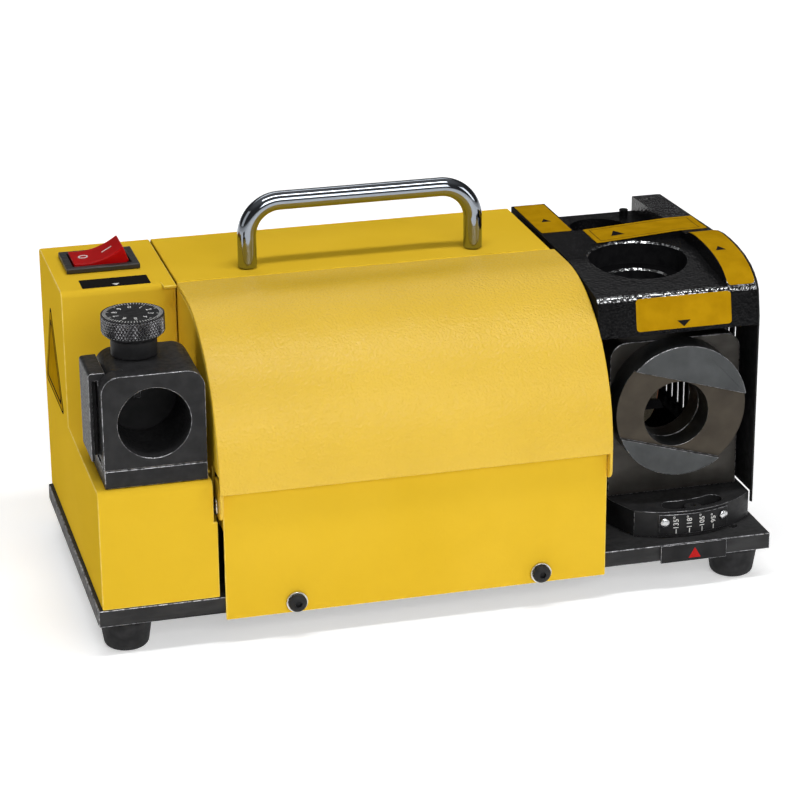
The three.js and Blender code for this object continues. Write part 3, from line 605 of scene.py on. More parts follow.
def abrasive():
    """Fine grit bonded to the wheel's working cone."""
    finish = Finish("abrasive_grit", (0.24, 0.20, 0.12), 0.75)
    finish.tint(finish.noise(0.5, 2.0), (0.12, 0.10, 0.07), (0.42, 0.36, 0.22))
    finish.relief(finish.cells(0.35, 0.2), 0.12, 0.9)
    return finish.material


def laminated_steel():
    """Stacked rotor sheets seen edge-on."""
    finish = Finish("rotor_laminations", (0.20, 0.20, 0.21), 0.45, 0.9)
    finish.relief(finish.noise(0.5, 1.0, stretch=(1, 0.02, 0.02)), 0.10, 0.8)
    return finish.material


def winding():
    finish = Finish("enamelled_winding", (0.42, 0.14, 0.05), 0.32, 0.6)
    finish.relief(finish.noise(0.8, 1.0, stretch=(0.2, 1, 1)), 0.20, 0.9)
    return finish.material


def amber_film():
    """Printed amber film, faintly mottled."""
    finish = Finish("amber_film", (0.44, 0.24, 0.004), 0.42, IOR=1.0)
    finish.tint(7, (0.40, 0.215, 0.0035), (0.47, 0.26, 0.005))
    finish.relief(finish.noise(4.0, 1.0), 0.03, 0.4)
    return finish.material


def ink(name, color):
    finish = Finish(name, color, 0.5, IOR=1.0)
    darker = tuple(value * 0.8 for value in color)
    finish.tint(0.8, darker, color, 0.3, 0.5)
    return finish.material


def studio_floor():
    finish = Finish("pale_floor", (0.86, 0.86, 0.86), 0.6,
                    Emission_Color=(1, 1, 1, 1), Emission_Strength=0.46)
    finish.tint(900, (0.855, 0.855, 0.855), (0.865, 0.865, 0.865))
    return finish.material


SEAT_LOW, SEAT_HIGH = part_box("seat_flange")
SEAT_CENTRE = (SEAT_LOW + SEAT_HIGH) / 2

# A piece's finishes: first its main material, and last that of its eased edges, painted lighter as wear and
# as a painted highlight. build_flange and paint_casting lay the others on the faces that they belong to; the
# casting's third finish holds painted glints.
YELLOW = (yellow_paint("yellow_powder_coat", 1.0, 0.35), yellow_edge())
LID_YELLOW = (yellow_paint("yellow_lid_coat", 1.50, 1.8),)
SATIN_BLACK = (flat_black_paint(), worn_black_edge())
CRINKLE = (crinkle_paint(), matte_black_paint(), crease_paint())
OXIDE = (black_oxide(), SATIN_BLACK[1])
KNURLED = (knurled_steel(),)
PLATE_FINISH = (plate_steel(), SATIN_BLACK[1])
MILLED = (dark_steel(), SATIN_BLACK[1])
TURNED = (turned_steel("dark_turned_steel", (0.070, 0.074, 0.076), SEAT_CENTRE),
          turned_steel("brown_turned_steel", (0.062, 0.052, 0.040), SEAT_CENTRE), SATIN_BLACK[1])
BRIGHT = (bright_steel(),)
CHROME = (chrome(),)
RUBBER = (rubber(),)
PLASTIC = (black_plastic(),)
RED = (red_plastic(),)
ALUMINIUM = (aluminium(),)
COPPER = (copper(),)
GRIT = (abrasive(),)
LAMINATED = (laminated_steel(),)
WINDING = (winding(),)
AMBER = (amber_film(),)
BLACK_INK = (ink("black_ink", (0.014, 0.013, 0.012)),)
WHITE_INK = (ink("white_ink", (0.78, 0.78, 0.76)),)
RED_INK = (ink("red_ink", (0.50, 0.02, 0.02)),)


# ---------- base ----------

def build_base():
    from_cad("base_plate", "plate", "machine", PLATE_FINISH, 0.45)
    for depth in ("front", "rear"):
        for side in ("left", "right"):
            build_foot(f"foot_{depth}_{side}")
            fastener(f"foot_screw_{depth}_{side}", "+Z", "cross", BRIGHT, 2.8, 2.0)


def build_foot(node):
    """A tapered rubber cup with a rounded rim and a hollow sole."""
    low, high = corners(node)
    middle = (low + high) / 2
    top = (high.x - low.x) / 2
    sole = top - 1.5
    recess = 6.0
    ceiling = 5.0
    hole = 2.3
    foot = lathe(rounded([
        (recess, 0.0, 0.5), (sole - 0.6, 0.0, 3.0), (top, high.z - 1.2, 0.8), (top - 0.2, high.z, 0.5),
        (hole, high.z, 0.3), (hole, ceiling, 0.3), (recess, ceiling, 0.4)], 6), 64)
    move(foot, middle.x, middle.y)
    piece(foot, node.replace("foot", "rubber_foot"), "machine", RUBBER, [node])


# ---------- fasteners ----------

def fastener(node, direction, drive, finishes, head_height, shank_radius, dome=0.55):
    """A screw in a CAD screw's place. direction points from its head to its tip."""
    low, high = corners(node)
    middle = (low + high) / 2
    axis = "XYZ".index(direction[1])
    length = high[axis] - low[axis]
    across = (axis + 1) % 3
    head_radius = (high[across] - low[across]) / 2
    screw = screw_shape(head_radius, head_height, shank_radius, length - head_height, drive, dome)
    along(screw, direction)
    face = [middle.x, middle.y, middle.z]
    face[axis] = low[axis] + head_height if direction[0] == "+" else high[axis] - head_height
    move(screw, *face)
    name = node.replace("screw", "bolt").replace("pivot", "hinge_pin")
    piece(screw, name, "machine", finishes, [node], angle=40)


def screw_shape(head_radius, head_height, shank_radius, length, drive, dome):
    """A screw about +Z: the head is below zero, domed and cut for its driver."""
    edge = -head_height * (1 - dome)
    steps = 8
    top = []
    for step in range(steps + 1):
        angle = math.radians(90 * step / steps)
        rise = head_height * dome * math.cos(angle)
        top.append((head_radius * math.sin(angle) * 0.999, edge - rise))
    profile = top + rounded([
        (head_radius, edge + 0.01), (head_radius, 0.0, 0.2), (shank_radius, 0.0),
        (shank_radius, length, 0.4), (0.0, length)], 3)
    screw = lathe(profile, 48)
    above = -head_height - 1
    if drive == "hex":
        cut(screw, bar("z", head_radius * 0.40, above, -head_height * 0.35, sides=6))
    if drive == "cross":
        arm = head_radius * 0.55
        wide = head_radius * 0.13
        deep = -head_height * 0.55
        cut(screw, join(block(-arm, arm, -wide, wide, above, deep),
                        block(-wide, wide, -arm, arm, above, deep)))
    return screw


# ---------- sheet covers ----------

SHEET = 1.5              # the covers' thickness


def build_covers():
    for node, name in (("left_housing", "left_case"), ("front_skirt", "skirt"), ("inner_cheek", "cheek")):
        from_cad(node, name, "machine", YELLOW, 0.45)
    from_cad("center_cover", "top_cover", "machine", YELLOW[:1], 0.45)
    build_lid()


def build_lid():
    """The curved lid: a bent sheet with an ear at each end, drilled for the hinge pins."""
    low, high = corners("curved_lid")
    bottom = corners("front_skirt")[1].z + 0.3
    bend_foot = 75
    radius = high.z - bend_foot
    inner = radius - SHEET
    centre_y = low.y + radius
    centre_z = high.z - radius
    steps = 72
    outline = [(low.y, bottom)]
    outline += arc(centre_y, centre_z, radius, 180, 90, steps)
    outline += [(high.y, high.z), (high.y, high.z - SHEET)]
    outline += arc(centre_y, centre_z, inner, 90, 180, steps)
    outline += [(low.y + SHEET, bottom)]
    ear_back = 8.8
    ear_top = 79
    ear = rounded([(low.y, bottom + 1), (low.y, low.z, 5), (ear_back, low.z, 5), (ear_back, ear_top, 2),
                   (low.y + 0.4, ear_top)])
    lid = join(
        prism("x", outline, low.x, high.x),
        prism("x", ear, low.x, low.x + SHEET),
        prism("x", ear, high.x - SHEET, high.x))
    hinge = joint_place("lid_hinge")
    pin_hole = 2.3
    cut(lid, bar("x", pin_hole, low.x - 1, high.x + 1, (hinge.y, hinge.z), 40))
    without_slivers(lid, 0.05)
    piece(lid, "lid", "lid", LID_YELLOW, ["curved_lid"], 0.5, 3)


def build_handle():
    """A bent round bar with a small chamfer where it meets the cover."""
    low, high = corners("carry_handle")
    radius = (high.y - low.y) / 2
    left = low.x + radius
    right = high.x - radius
    top = high.z - radius
    bend = 16.0
    chamfer = 0.5
    path = [(left, low.z, radius - chamfer), (left, low.z + chamfer, radius)]
    path += [(x, z, radius) for x, z in arc(left + bend, top - bend, bend, 180, 90, 24)]
    path += [(x, z, radius) for x, z in arc(right - bend, top - bend, bend, 90, 0, 24)]
    path += [(right, low.z + chamfer, radius), (right, low.z, radius - chamfer)]
    handle = swept_bar(path, (low.y + high.y) / 2, 48)
    piece(handle, "handle_bar", "machine", CHROME, ["carry_handle"], angle=40)


def swept_bar(path, depth, sides):
    """A round bar along (x, z, radius) points, all at one depth."""
    bm = bmesh.new()
    rings = []
    for index, (x, z, radius) in enumerate(path):
        before = path[max(index - 1, 0)]
        after = path[min(index + 1, len(path) - 1)]
        tangent = Vector((after[0] - before[0], 0, after[1] - before[1])).normalized()
        across = Vector((-tangent.z, 0, tangent.x))
        ring = []
        for side in range(sides):
            angle = 2 * math.pi * side / sides
            offset = across * math.cos(angle) + Vector((0, 1, 0)) * math.sin(angle)
            ring.append(bm.verts.new(Vector((x, depth, z)) + offset * radius))
        rings.append(ring)
    for first, second in zip(rings, rings[1:]):
        bridge(bm, first, second)
    bm.faces.new(rings[0])
    bm.faces.new(rings[-1])
    return to_object(bm)


def build_cover_fasteners():
    for side in ("left", "right"):
        low, high = corners(f"skirt_washer_{side}")
        middle = (low + high) / 2
        washer = along(tube(2.4, (high.x - low.x) / 2, 0, high.y - low.y, 0.25, 64), "+Y")
        move(washer, middle.x, low.y, middle.z)
        piece(washer, f"skirt_ring_{side}", "machine", BRIGHT, [f"skirt_washer_{side}"])
        fastener(f"skirt_screw_{side}", "+Y", "hex", OXIDE[:1], 2.5, 2.0, 0.7)
        fastener(f"rear_screw_{side}", "-Y", "hex", OXIDE[:1], 2.5, 2.0, 0.7)
        fastener(f"handle_screw_{side}", "+Z", "hex", OXIDE[:1], 2.6, 2.0)
    for side, direction in (("left", "+X"), ("right", "-X")):
        fastener(f"lid_pivot_{side}", direction, "cross", BRIGHT, 1.2, 2.0)


# ---------- switch and gland ----------

ROCKER_HALF = 12.8
ROCKER_TIP = ROCKER_HALF - 0.6


def rocker_height(x):
    """How far the rocker's hollowed top is above its pivot."""
    crown = 6.0
    hollow = 2.4
    return crown - hollow + hollow * (x / ROCKER_TIP) ** 2


def build_switch():
    from_cad("switch_housing", "switch_bezel", "machine", PLASTIC, 0.5, 3)
    build_rocker()
    build_gland()


def build_rocker():
    """The rocker, tilted on its pivot, with a ring and a line for off and on."""
    low, high = corners("rocker_button")
    half_depth = (high.y - low.y) / 2
    pivot = joint_place("rocker_tilt")
    resting_tilt = -15
    tilt = Matrix.Rotation(math.radians(resting_tilt), 4, "Y")
    place = Matrix.Translation((pivot.x, (high.y + low.y) / 2, pivot.z)) @ tilt
    shoulder = -1.5
    steps = 24
    top = []
    for step in range(steps + 1):
        x = ROCKER_TIP - 2 * ROCKER_TIP * step / steps
        top.append((x, rocker_height(x)))
    outline = arc(0, 0, 9, -160, -20, 20) + [(ROCKER_HALF, shoulder)] + top + [(-ROCKER_HALF, shoulder)]
    rocker = prism("y", outline, -half_depth, half_depth)
    rocker.data.transform(place)
    piece(rocker, "rocker", "rocker", RED, ["rocker_button"], 0.5, 3)

    thick = 0.12
    ring = move(tube(1.6, 2.3, 0, thick, 0.05, 48), -6.6)
    line = prism("z", rectangle(-2.7, 2.7, -0.34, 0.34, 0.25), 0, thick)
    marks = gather(ring, move(spin(line, 12, "Z"), 5.0))
    for vertex in marks.data.vertices:
        vertex.co.z += rocker_height(vertex.co.x) + 0.03
    marks.data.transform(place)
    piece(marks, "rocker_marks", "rocker", WHITE_INK, angle=40)


def build_gland():
    """The cord's gland: a clamping nut with grip slots on a threaded neck."""
    low, high = corners("cable_gland")
    middle = (low + high) / 2
    neck = 5.8
    nut = 9
    throat = 3.4
    outside = 11.6
    gland = lathe(rounded([
        (0, -16), (neck, -16, 0.4), (neck, 0.5), (nut, 0.5, 0.5), (nut, 5, 0.8), (7.2, 6, 0.4),
        (6.4, outside, 1.0), (throat, outside, 0.5), (throat, -6), (0, -6)], 4), 64)
    slots = [spin(block(8.6, 9.5, -0.5, 0.5, 1.0, 4.4), 30 * index + 15, "Z") for index in range(12)]
    cut(gland, *slots)
    move(along(gland, "+Y"), middle.x, high.y - outside - 0.1, middle.z)
    piece(gland, "cord_gland", "machine", PLASTIC, ["cable_gland"], angle=35)


# ---------- chuck-setting fixture ----------

def build_fixture():
    from_cad("setting_base", "fixture_foot", "machine", OXIDE, 0.35)
    build_setting_block()
    build_side_gib()
    build_dial()
    from_cad("web_blade", "web_stop_blade", "web_stop", OXIDE, 0.2)


def build_setting_block():
    """A block with a wider flange at its front, bored for the chuck and for the dial's stem."""
    low, high = corners("setting_block")
    dial_low, dial_high = corners("dial_knob")
    dial_centre = ((dial_low.x + dial_high.x) / 2, (dial_low.y + dial_high.y) / 2)
    bore_centre = (-130.7, 108.9)
    bore_radius = 16.35
    stem_hole = 5.3
    flange_rear = low.y + 9
    overhang = 3.7
    back_wall = 5
    block_shape = join(
        prism("y", arched(low.x, high.x, low.z, high.z), low.y, flange_rear),
        prism("y", arched(low.x + overhang, high.x, low.z, high.z), flange_rear - 1, high.y))
    cut(block_shape,
        bar("y", bore_radius, low.y - 1, high.y - back_wall, bore_centre, 128),
        bar("z", stem_hole, bore_centre[1], high.z + 1, dial_centre, 48))
    piece(block_shape, "fixture_block", "machine", OXIDE, ["setting_block"], 0.25)


def build_side_gib():
    """A clamping plate with a deep groove down its front edge."""
    low, high = corners("side_gib")
    outline = rounded([(low.x, low.z), (high.x, low.z), (high.x, high.z), (low.x, high.z, 1.6)], 6)
    groove = block(low.x + 1.5, low.x + 4.1, low.y - 1, low.y + 7, low.z - 1, high.z - 3.5)
    gib = cut(prism("y", outline, low.y, high.y), groove)
    piece(gib, "gib_plate", "machine", OXIDE, ["side_gib"], 0.2)


def build_dial():
    """A turned knob on a thin stem, with a diamond knurl and a numbered top."""
    low, high = corners("dial_knob")
    middle = (low + high) / 2
    radius = (high.x - low.x) / 2
    seat = corners("setting_block")[1].z + 0.3
    neck = 10.4
    neck_top = 139.6
    stem = 5.0
    knurl_low = 142.0
    knurl_high = high.z - 0.25
    waist = radius - 0.9
    rim = radius - 0.15
    body = lathe(rounded([
        (0, low.z), (stem, low.z, 0.5), (stem, seat), (neck, seat, 0.4), (neck, neck_top, 0.6),
        (radius - 2.6, neck_top + 0.8, 0.6), (waist, knurl_low - 0.1, 0.2), (waist, knurl_high - 0.05),
        (rim, knurl_high - 0.05), (rim, high.z, 0.12), (0, high.z)], 4), 144)
    move(body, middle.x, middle.y)
    piece(body, "dial_body", "dial", OXIDE[:1], ["dial_knob"], angle=35)

    knurl = knurled_band(radius, knurl_low, knurl_high, 58, 0.5)
    move(knurl, middle.x, middle.y)
    piece(knurl, "dial_knurl", "dial", KNURLED, flat=False)
    for polygon in knurl.data.polygons:
        polygon.use_smooth = False

    marks = move(dial_scale(radius), middle.x, middle.y, high.z)
    piece(marks, "dial_marks", "dial", WHITE_INK, angle=40)


def dial_scale(radius):
    """Ticks round the dial's edge, every sixth one long, with the numbers inside them."""
    ticks = 60
    numbers = 10
    outer = radius - 0.9
    marks = []
    for index in range(ticks):
        length = 2.7 if index % (ticks // numbers) == 0 else 1.6
        tick = block(-0.13, 0.13, outer - length, outer, 0, 0.06)
        marks.append(spin(tick, -360 * index / ticks, "Z"))
    for number in range(numbers):
        digit = move(lettering(str(number), 3.7), 0, radius - 6.3)
        marks.append(spin(digit, -360 / numbers * number, "Z"))
    return gather(*marks)


def knurled_band(radius, bottom, top, count, depth):
    """A band of small pyramids, where two sets of slanting grooves cross."""
    sides = count * 8
    rows = 26
    slant = 0.6
    pitch = 2 * math.pi * radius / count
    bm = bmesh.new()

    def ring(z, reach_at):
        points = []
        for index in range(sides):
            angle = 2 * math.pi * index / sides
            reach = reach_at(index)
            points.append(bm.verts.new((reach * math.cos(angle), reach * math.sin(angle), z)))
        return points

    def knurled(row, z, index):
        turn = index / sides * count
        rise = (z - bottom) / pitch * slant
        first = abs((turn + rise) % 1 - 0.5) * 2
        second = abs((turn - rise) % 1 - 0.5) * 2
        edge = min(row, rows - row) / 2
        height = min(first, second) * min(edge, 1)
        return radius - depth + depth * height if 0 < row < rows else radius - 2 * depth

    rings = []
    for row in range(rows + 1):
        z = bottom + (top - bottom) * row / rows
        rings.append(ring(z, lambda index: knurled(row, z, index)))
    inner_low = ring(bottom, lambda index: radius - 1.6)
    inner_high = ring(top, lambda index: radius - 1.6)
    loop = [inner_low, *rings, inner_high, inner_low]
    for lower, upper in zip(loop, loop[1:]):
        bridge(bm, lower, upper)
    return to_object(bm)


def lettering(text, size, thick=0.06):
    """Flat characters centred on the origin, facing +Z, as a thin mesh."""
    curve = bpy.data.curves.new("text", "FONT")
    curve.body = text
    curve.size = size
    curve.align_x = "CENTER"
    curve.align_y = "CENTER"
    curve.extrude = thick / 2
    curve.resolution_u = 4
    holder = bpy.data.objects.new("text", curve)
    bpy.context.scene.collection.objects.link(holder)
    bpy.context.view_layer.update()
    graph = bpy.context.evaluated_depsgraph_get()
    mesh = bpy.data.meshes.new_from_object(holder.evaluated_get(graph))
    bpy.data.objects.remove(holder)
    shape = bpy.data.objects.new("shape", mesh)
    bpy.context.scene.collection.objects.link(shape)
    return move(shape, z=thick / 2)


# ---------- grinding head ----------

BODY_TOP = 145
STEP_Y = 109             # where the body steps down to its rear part
LIP_LOW = (19.3, 121)    # the sloping front lip's two edges, as (y, z)
LIP_HIGH = (23.0, 139.3)
RIM_TOP = [
    (22.5, 137.6), (24.4, 140.4), (28.3, 143.6), (33.3, 146.2), (41, 148.6), (50.6, 150.1),
    (60, 150.8), (68, 150.9), (76, 150), (79, 148.4),
]
RIM_LEFT = 143.5
BRIDGE_LEFT = 97         # where the flat top starts to climb to the rim
BRIDGE_TOP = 147.6
CASTING_WALL = 6
PORT_FRONT = {"x": 113, "y": 62.5, "rim": 23.4, "bore": 15.2, "ledge": 134}
PORT_REAR = {"x": 117.5, "y": 133, "bore": 14.5}


def smooth_path(points, steps=6):
    """A smooth curve through points (Catmull-Rom)."""
    path = []
    last = len(points) - 1
    for index in range(last):
        p0 = Vector(points[max(index - 1, 0)])
        p1 = Vector(points[index])
        p2 = Vector(points[index + 1])
        p3 = Vector(points[min(index + 2, last)])
        for step in range(steps):
            t = step / steps
            path.append(tuple(0.5 * (2 * p1 + (p2 - p0) * t + (2 * p0 - 5 * p1 + 4 * p2 - p3) * t ** 2
                                     + (3 * p1 - p0 - 3 * p2 + p3) * t ** 3)))
    path.append(tuple(points[-1]))
    return path


def rim_chamfer(radius, top, width, centre):
    """A cone that takes the corner off a hole's upper rim."""
    cone = lathe([(0, top - width), (radius, top - width), (radius + 2 * width, top + width),
                  (0, top + width)], 96)
    return move(cone, *centre)


def build_housing():
    """The grinding head: the casting with its two ports, its side cover and the cover's screws."""
    low, high = corners("wheel_housing")
    shell = casting(low, high)
    port = (PORT_FRONT["x"], PORT_FRONT["y"])
    rim_width = 0.8
    above = 160
    inside = 120
    shaft_hole = 11
    cut(shell,
        bar("z", PORT_FRONT["rim"], PORT_FRONT["ledge"], above, port, 96),
        bar("z", PORT_FRONT["bore"], inside, above, port, 96),
        rim_chamfer(PORT_FRONT["rim"], BODY_TOP, rim_width, port),
        rim_chamfer(PORT_FRONT["bore"], PORT_FRONT["ledge"], rim_width, port),
        bar("z", PORT_REAR["bore"], inside, above, (PORT_REAR["x"], PORT_REAR["y"]), 80),
        bar("x", shaft_hole, low.x - 1, low.x + CASTING_WALL + 1, (SPINDLE.y, SPINDLE.z), 64))
    without_slivers(shell, 0.02)
    piece(shell, "casting", "machine", CRINKLE, ["wheel_housing"], angle=32)
    paint_casting(shell, low.x)
    from_cad("side_cover", "side_panel", "machine", SATIN_BLACK[:1], 0.2)
    for index in (1, 2, 3):
        fastener(f"side_cover_screw_{index}", "-X", "cross", OXIDE[:1], 1.2, 1.6)


def casting(low, high):
    """The casting before its holes: a hollow body, a raised rim on the right and a few ribs."""
    left, right, back, floor = low.x, high.x, high.y, low.z
    rear_top = 138
    lip_front, lip_bottom = LIP_LOW
    throat = 48              # the body's front below the lip
    profile = rounded([
        LIP_LOW, (throat, lip_bottom), (throat, floor), (back, floor), (back, rear_top, 2),
        (STEP_Y, rear_top), (STEP_Y, BODY_TOP), (66, BODY_TOP, 60), (*LIP_HIGH, 3)], 10)
    inner_front = lip_front + 5.5
    inner_back = back - CASTING_WALL
    inside = [(inner_front, floor - 1), (inner_back, floor - 1), (inner_back, 132), (95, 132), (95, 128),
              (29, 128), (inner_front, 112)]
    rim = [(30, rear_top - 2), *smooth_path(RIM_TOP), (back, BODY_TOP), (back, rear_top - 2)]
    ramp = [(BRIDGE_LEFT, BODY_TOP - 3), (RIM_LEFT + 2, BODY_TOP - 3), (RIM_LEFT + 2, BRIDGE_TOP),
            (RIM_LEFT, BRIDGE_TOP), (BRIDGE_LEFT, BODY_TOP)]
    guard = [(left + 1, 70.8), (124.6, 70.8), (122.5, 75), (113.5, 76), (113.5, 100), (left + 1, 100)]
    sill_top = 43
    strip_right = 97
    shell = cut(prism("x", profile, left, right), prism("x", inside, left + CASTING_WALL, right + 1))
    return join(shell,
                prism("x", rim, RIM_LEFT, right),
                prism("y", ramp, 86, STEP_Y),
                block(left, strip_right, STEP_Y - 1, back, rear_top - 2, BODY_TOP),
                block(left, left + 1.5, 20, 49, floor, lip_bottom + 2),
                block(right - CASTING_WALL, right, 78, back, floor, sill_top),
                prism("y", guard, 52.2, 54.5),
                bar("z", 2.2, rear_top - 2, rear_top + 3.4, (136, 148), 24))


def paint_casting(shell, left):
    """Dull paint on the port's walls and the left wall, and painted glints along the front crease and port
    rims.
    """
    port = Vector((PORT_FRONT["x"], PORT_FRONT["y"]))
    for polygon in shell.data.polygons:
        facing = polygon.normal
        middle = FROM_FRAME @ polygon.center
        near_port = (middle.xy - port).length < PORT_FRONT["rim"] + 1
        on_left = middle.x < left + 0.5 and facing.x < -0.9
        in_crease = middle.y < 28 and 136 < middle.z < 142 and abs(facing.x) < 0.3
        if on_left or (near_port and abs(facing.z) < 0.3):
            polygon.material_index = 1
        # painted highlight: the crease and the port rims' chamfers get the glint paint
        if (in_crease and 0.25 < facing.z < 0.96) or (near_port and 0.3 < facing.z < 0.9):
            polygon.material_index = 2


# ---------- swivelling seat ----------

SEAT_BORE = {"x": PIVOT.x - 2.8, "z": 80.4, "radius": 15.9}
SCALE_MARKS = [("135°", -6.9), ("118°", 0.3), ("105°", 7.4), ("95°", 14.2)]


def around_pivot(radius, degrees):
    """A place on a circle about the seat's pivot. Zero is straight ahead, and right is positive."""
    angle = math.radians(degrees)
    return PIVOT.x + radius * math.sin(angle), PIVOT.y - radius * math.cos(angle)


def band(inner, outer, start, end, steps=40):
    """A curved strip about the seat's pivot, seen from above."""
    outside = arc(PIVOT.x, PIVOT.y, outer, start - 90, end - 90, steps)
    inside = arc(PIVOT.x, PIVOT.y, inner, end - 90, start - 90, steps)
    return outside + inside


def build_seat():
    build_swivel_base()
    low, high = corners("seat_block")
    seat = cut(prism("y", arched(low.x, high.x, low.z, high.z), low.y, high.y),
               seat_bore(low.y - 1, high.y + 1))
    piece(seat, "seat_plate", "seat", MILLED, ["seat_block"], 0.4)
    build_flange()
    build_scale()
    build_index()


def seat_bore(front, back):
    return bar("y", SEAT_BORE["radius"], front, back, (SEAT_BORE["x"], SEAT_BORE["z"]), 112)


def build_flange():
    """The locating ring: a disc with a shallow tilted channel across its face."""
    low, high = corners("seat_flange")
    radius = (high.x - low.x) / 2
    channel = 2.0
    half_band = 16.6
    tilt = 16.5
    disc = bar("y", radius, low.y, high.y, ((low.x + high.x) / 2, (low.z + high.z) / 2), 144)
    groove = block(-radius - 8, radius + 8, low.y - 1, low.y + channel, -half_band, half_band)
    spin(groove, tilt, "Y")
    move(groove, SEAT_BORE["x"], 0, SEAT_BORE["z"])
    cut(disc, seat_bore(low.y - 1, high.y + 1), groove)
    piece(disc, "locating_ring", "seat", TURNED, ["seat_flange"], 0.22, inner=True)
    channel_floor = (SHOP @ Vector((0, low.y + channel, 0))).y
    for polygon in disc.data.polygons:
        if polygon.normal.y < -0.9 and abs(polygon.center.y - channel_floor) < 0.1 * MM:
            polygon.material_index = 1


def build_swivel_base():
    """The sector that the seat stands on, with a stepped slot for the clamp screw, and its pivot."""
    low, high = corners("swivel_base")
    radius = 51
    reach_left = -24.8       # where the arc ends, from the pivot
    straight = 28            # how far forward the left edge stays straight
    clamp_radius = 43
    slot = (-7.5, 21.7)
    slot_floor = high.z - 6
    pivot_hole = 4.3
    start = math.degrees(math.asin(reach_left / radius)) - 90
    end = math.degrees(math.asin((high.x - PIVOT.x) / radius)) - 90
    outline = [(low.x, high.y), (low.x, PIVOT.y - straight)]
    outline += arc(PIVOT.x, PIVOT.y, radius, start, end, 48)
    outline += [(high.x, high.y)]

    def slot_tool(half, bottom, top):
        ends = [bar("z", half, bottom, top, around_pivot(clamp_radius, angle), 24) for angle in slot]
        strip = band(clamp_radius - half, clamp_radius + half, *slot, 16)
        return join(prism("z", strip, bottom, top), *ends)

    base = cut(prism("z", outline, low.z, high.z),
               slot_tool(4.7, slot_floor, high.z + 1),
               slot_tool(3.2, low.z - 1, slot_floor + 1),
               bar("z", pivot_hole, low.z - 1, high.z + 1, (PIVOT.x, PIVOT.y), 48))
    without_slivers(base, 0.15)
    piece(base, "swivel_sector", "seat", OXIDE, ["swivel_base"], 0.4, clamp=True)

    bottom, top = (corner.z for corner in corners("pivot_pin"))
    pin = lathe(rounded([(0, bottom), (4, bottom, 0.6), (4, top, 0.6), (0, top)], 4), 64)
    move(pin, PIVOT.x, PIVOT.y)
    piece(pin, "swivel_pin", "machine", BRIGHT, ["pivot_pin"])
    fastener("clamp_screw", "-Z", "hex", OXIDE[:1], 4.6, 2.6, 0.12)


def build_scale():
    """The curved angle scale with its figures and its two screws."""
    low, high = corners("scale_plate")
    inner, outer = 51.3, 52.1
    plate = prism("z", band(inner, outer, -16, 23.5, 60), low.z, high.z)
    piece(plate, "angle_scale", "seat", SATIN_BLACK, ["scale_plate"], 0.15)

    marks = []
    for text, degrees in SCALE_MARKS:
        figure = move(spin(lettering(text, 3.6), 90, "Z"), 0, low.z + 5.9)
        dash = move(block(-0.18, 0.18, -1.1, 1.1, 0, 0.06), 0, low.z + 1.5)
        mark = gather(figure, dash)
        for vertex in mark.data.vertices:
            across, up, out = vertex.co
            x, y = around_pivot(outer + out + 0.01, degrees + math.degrees(across / outer))
            vertex.co = (x, y, up)
        marks.append(mark)
    piece(gather(*marks), "scale_marks", "seat", WHITE_INK, angle=40)

    head = 2.3
    for side, degrees in (("left", -13.1), ("right", 20.3)):
        screw = spin(along(screw_shape(head, 1.3, 1.0, 3.4, None, 0.75), "+Y"), degrees, "Z")
        move(screw, *around_pivot(outer + 0.3, degrees), corners(f"scale_screw_{side}")[0].z + head)
        piece(screw, f"scale_bolt_{side}", "seat", BRIGHT, [f"scale_screw_{side}"], angle=40)


def build_index():
    """The strip that the scale is read against, with its red arrow."""
    front = corners("index_plate")[0].y
    from_cad("index_plate", "index_strip", "machine", SATIN_BLACK, 0.15)
    arrow = prism("y", triangle(118.8, 124.8, 15.7, 20.8), front - 0.06, front)
    piece(arrow, "index_mark", "machine", RED_INK)


# ---------- spindle and motor ----------

SHAFT_HOLE = 6.3         # the bore of what sits on the shaft


def on_spindle(shape):
    """Lays a shape made about +Z along the spindle, so that its heights become places along X."""
    return move(along(shape, "+X"), 0, SPINDLE.y, SPINDLE.z)


def build_spindle():
    shaft = lathe(rounded([
        (0, -69), (6, -69, 0.6), (6, 86, 0.3), (9, 86, 0.5), (9, 107.6, 0.4), (5, 107.6),
        (5, 140, 0.8), (0, 140)], 4), 64)
    piece(on_spindle(shaft), "spindle_shaft", "spindle", BRIGHT, ["shaft"])
    build_wheel()
    build_rotor()
    build_fan()


def build_wheel():
    """The cupped wheel with grit on its cone, and the flange and nut that hold it."""
    hole = 5.3
    wide, cone_start = 39, 112
    narrow, cone_end = 30.6, 126
    wheel = lathe(rounded([
        (hole, 108, 0.3), (wide, 108, 0.5), (wide, cone_start), (37.6, 114.4), (32.2, 123.4),
        (narrow, cone_end, 0.4), (18, cone_end, 0.6), (18, 122, 0.8), (hole, 122, 0.3)], 4), 128)
    piece(on_spindle(wheel), "wheel_body", "spindle", COPPER, ["grinding_wheel"], angle=25)
    slope = (narrow - wide) / (cone_end - cone_start)

    def cone(height, lift):
        return wide + slope * (height - cone_start) + lift, height

    grit = lathe([cone(113, 0.02), cone(113, 0.5), cone(125, 0.5), cone(125, 0.02)], 128)
    piece(on_spindle(grit), "wheel_grit", "spindle", GRIT, angle=25)
    flange = tube(hole, 14, 122.3, 127.3, 0.6, 64)
    piece(on_spindle(flange), "clamp_flange", "spindle", BRIGHT, ["wheel_flange"])
    from_cad("wheel_nut", "spindle_nut", "spindle", BRIGHT, 0.5, 3)


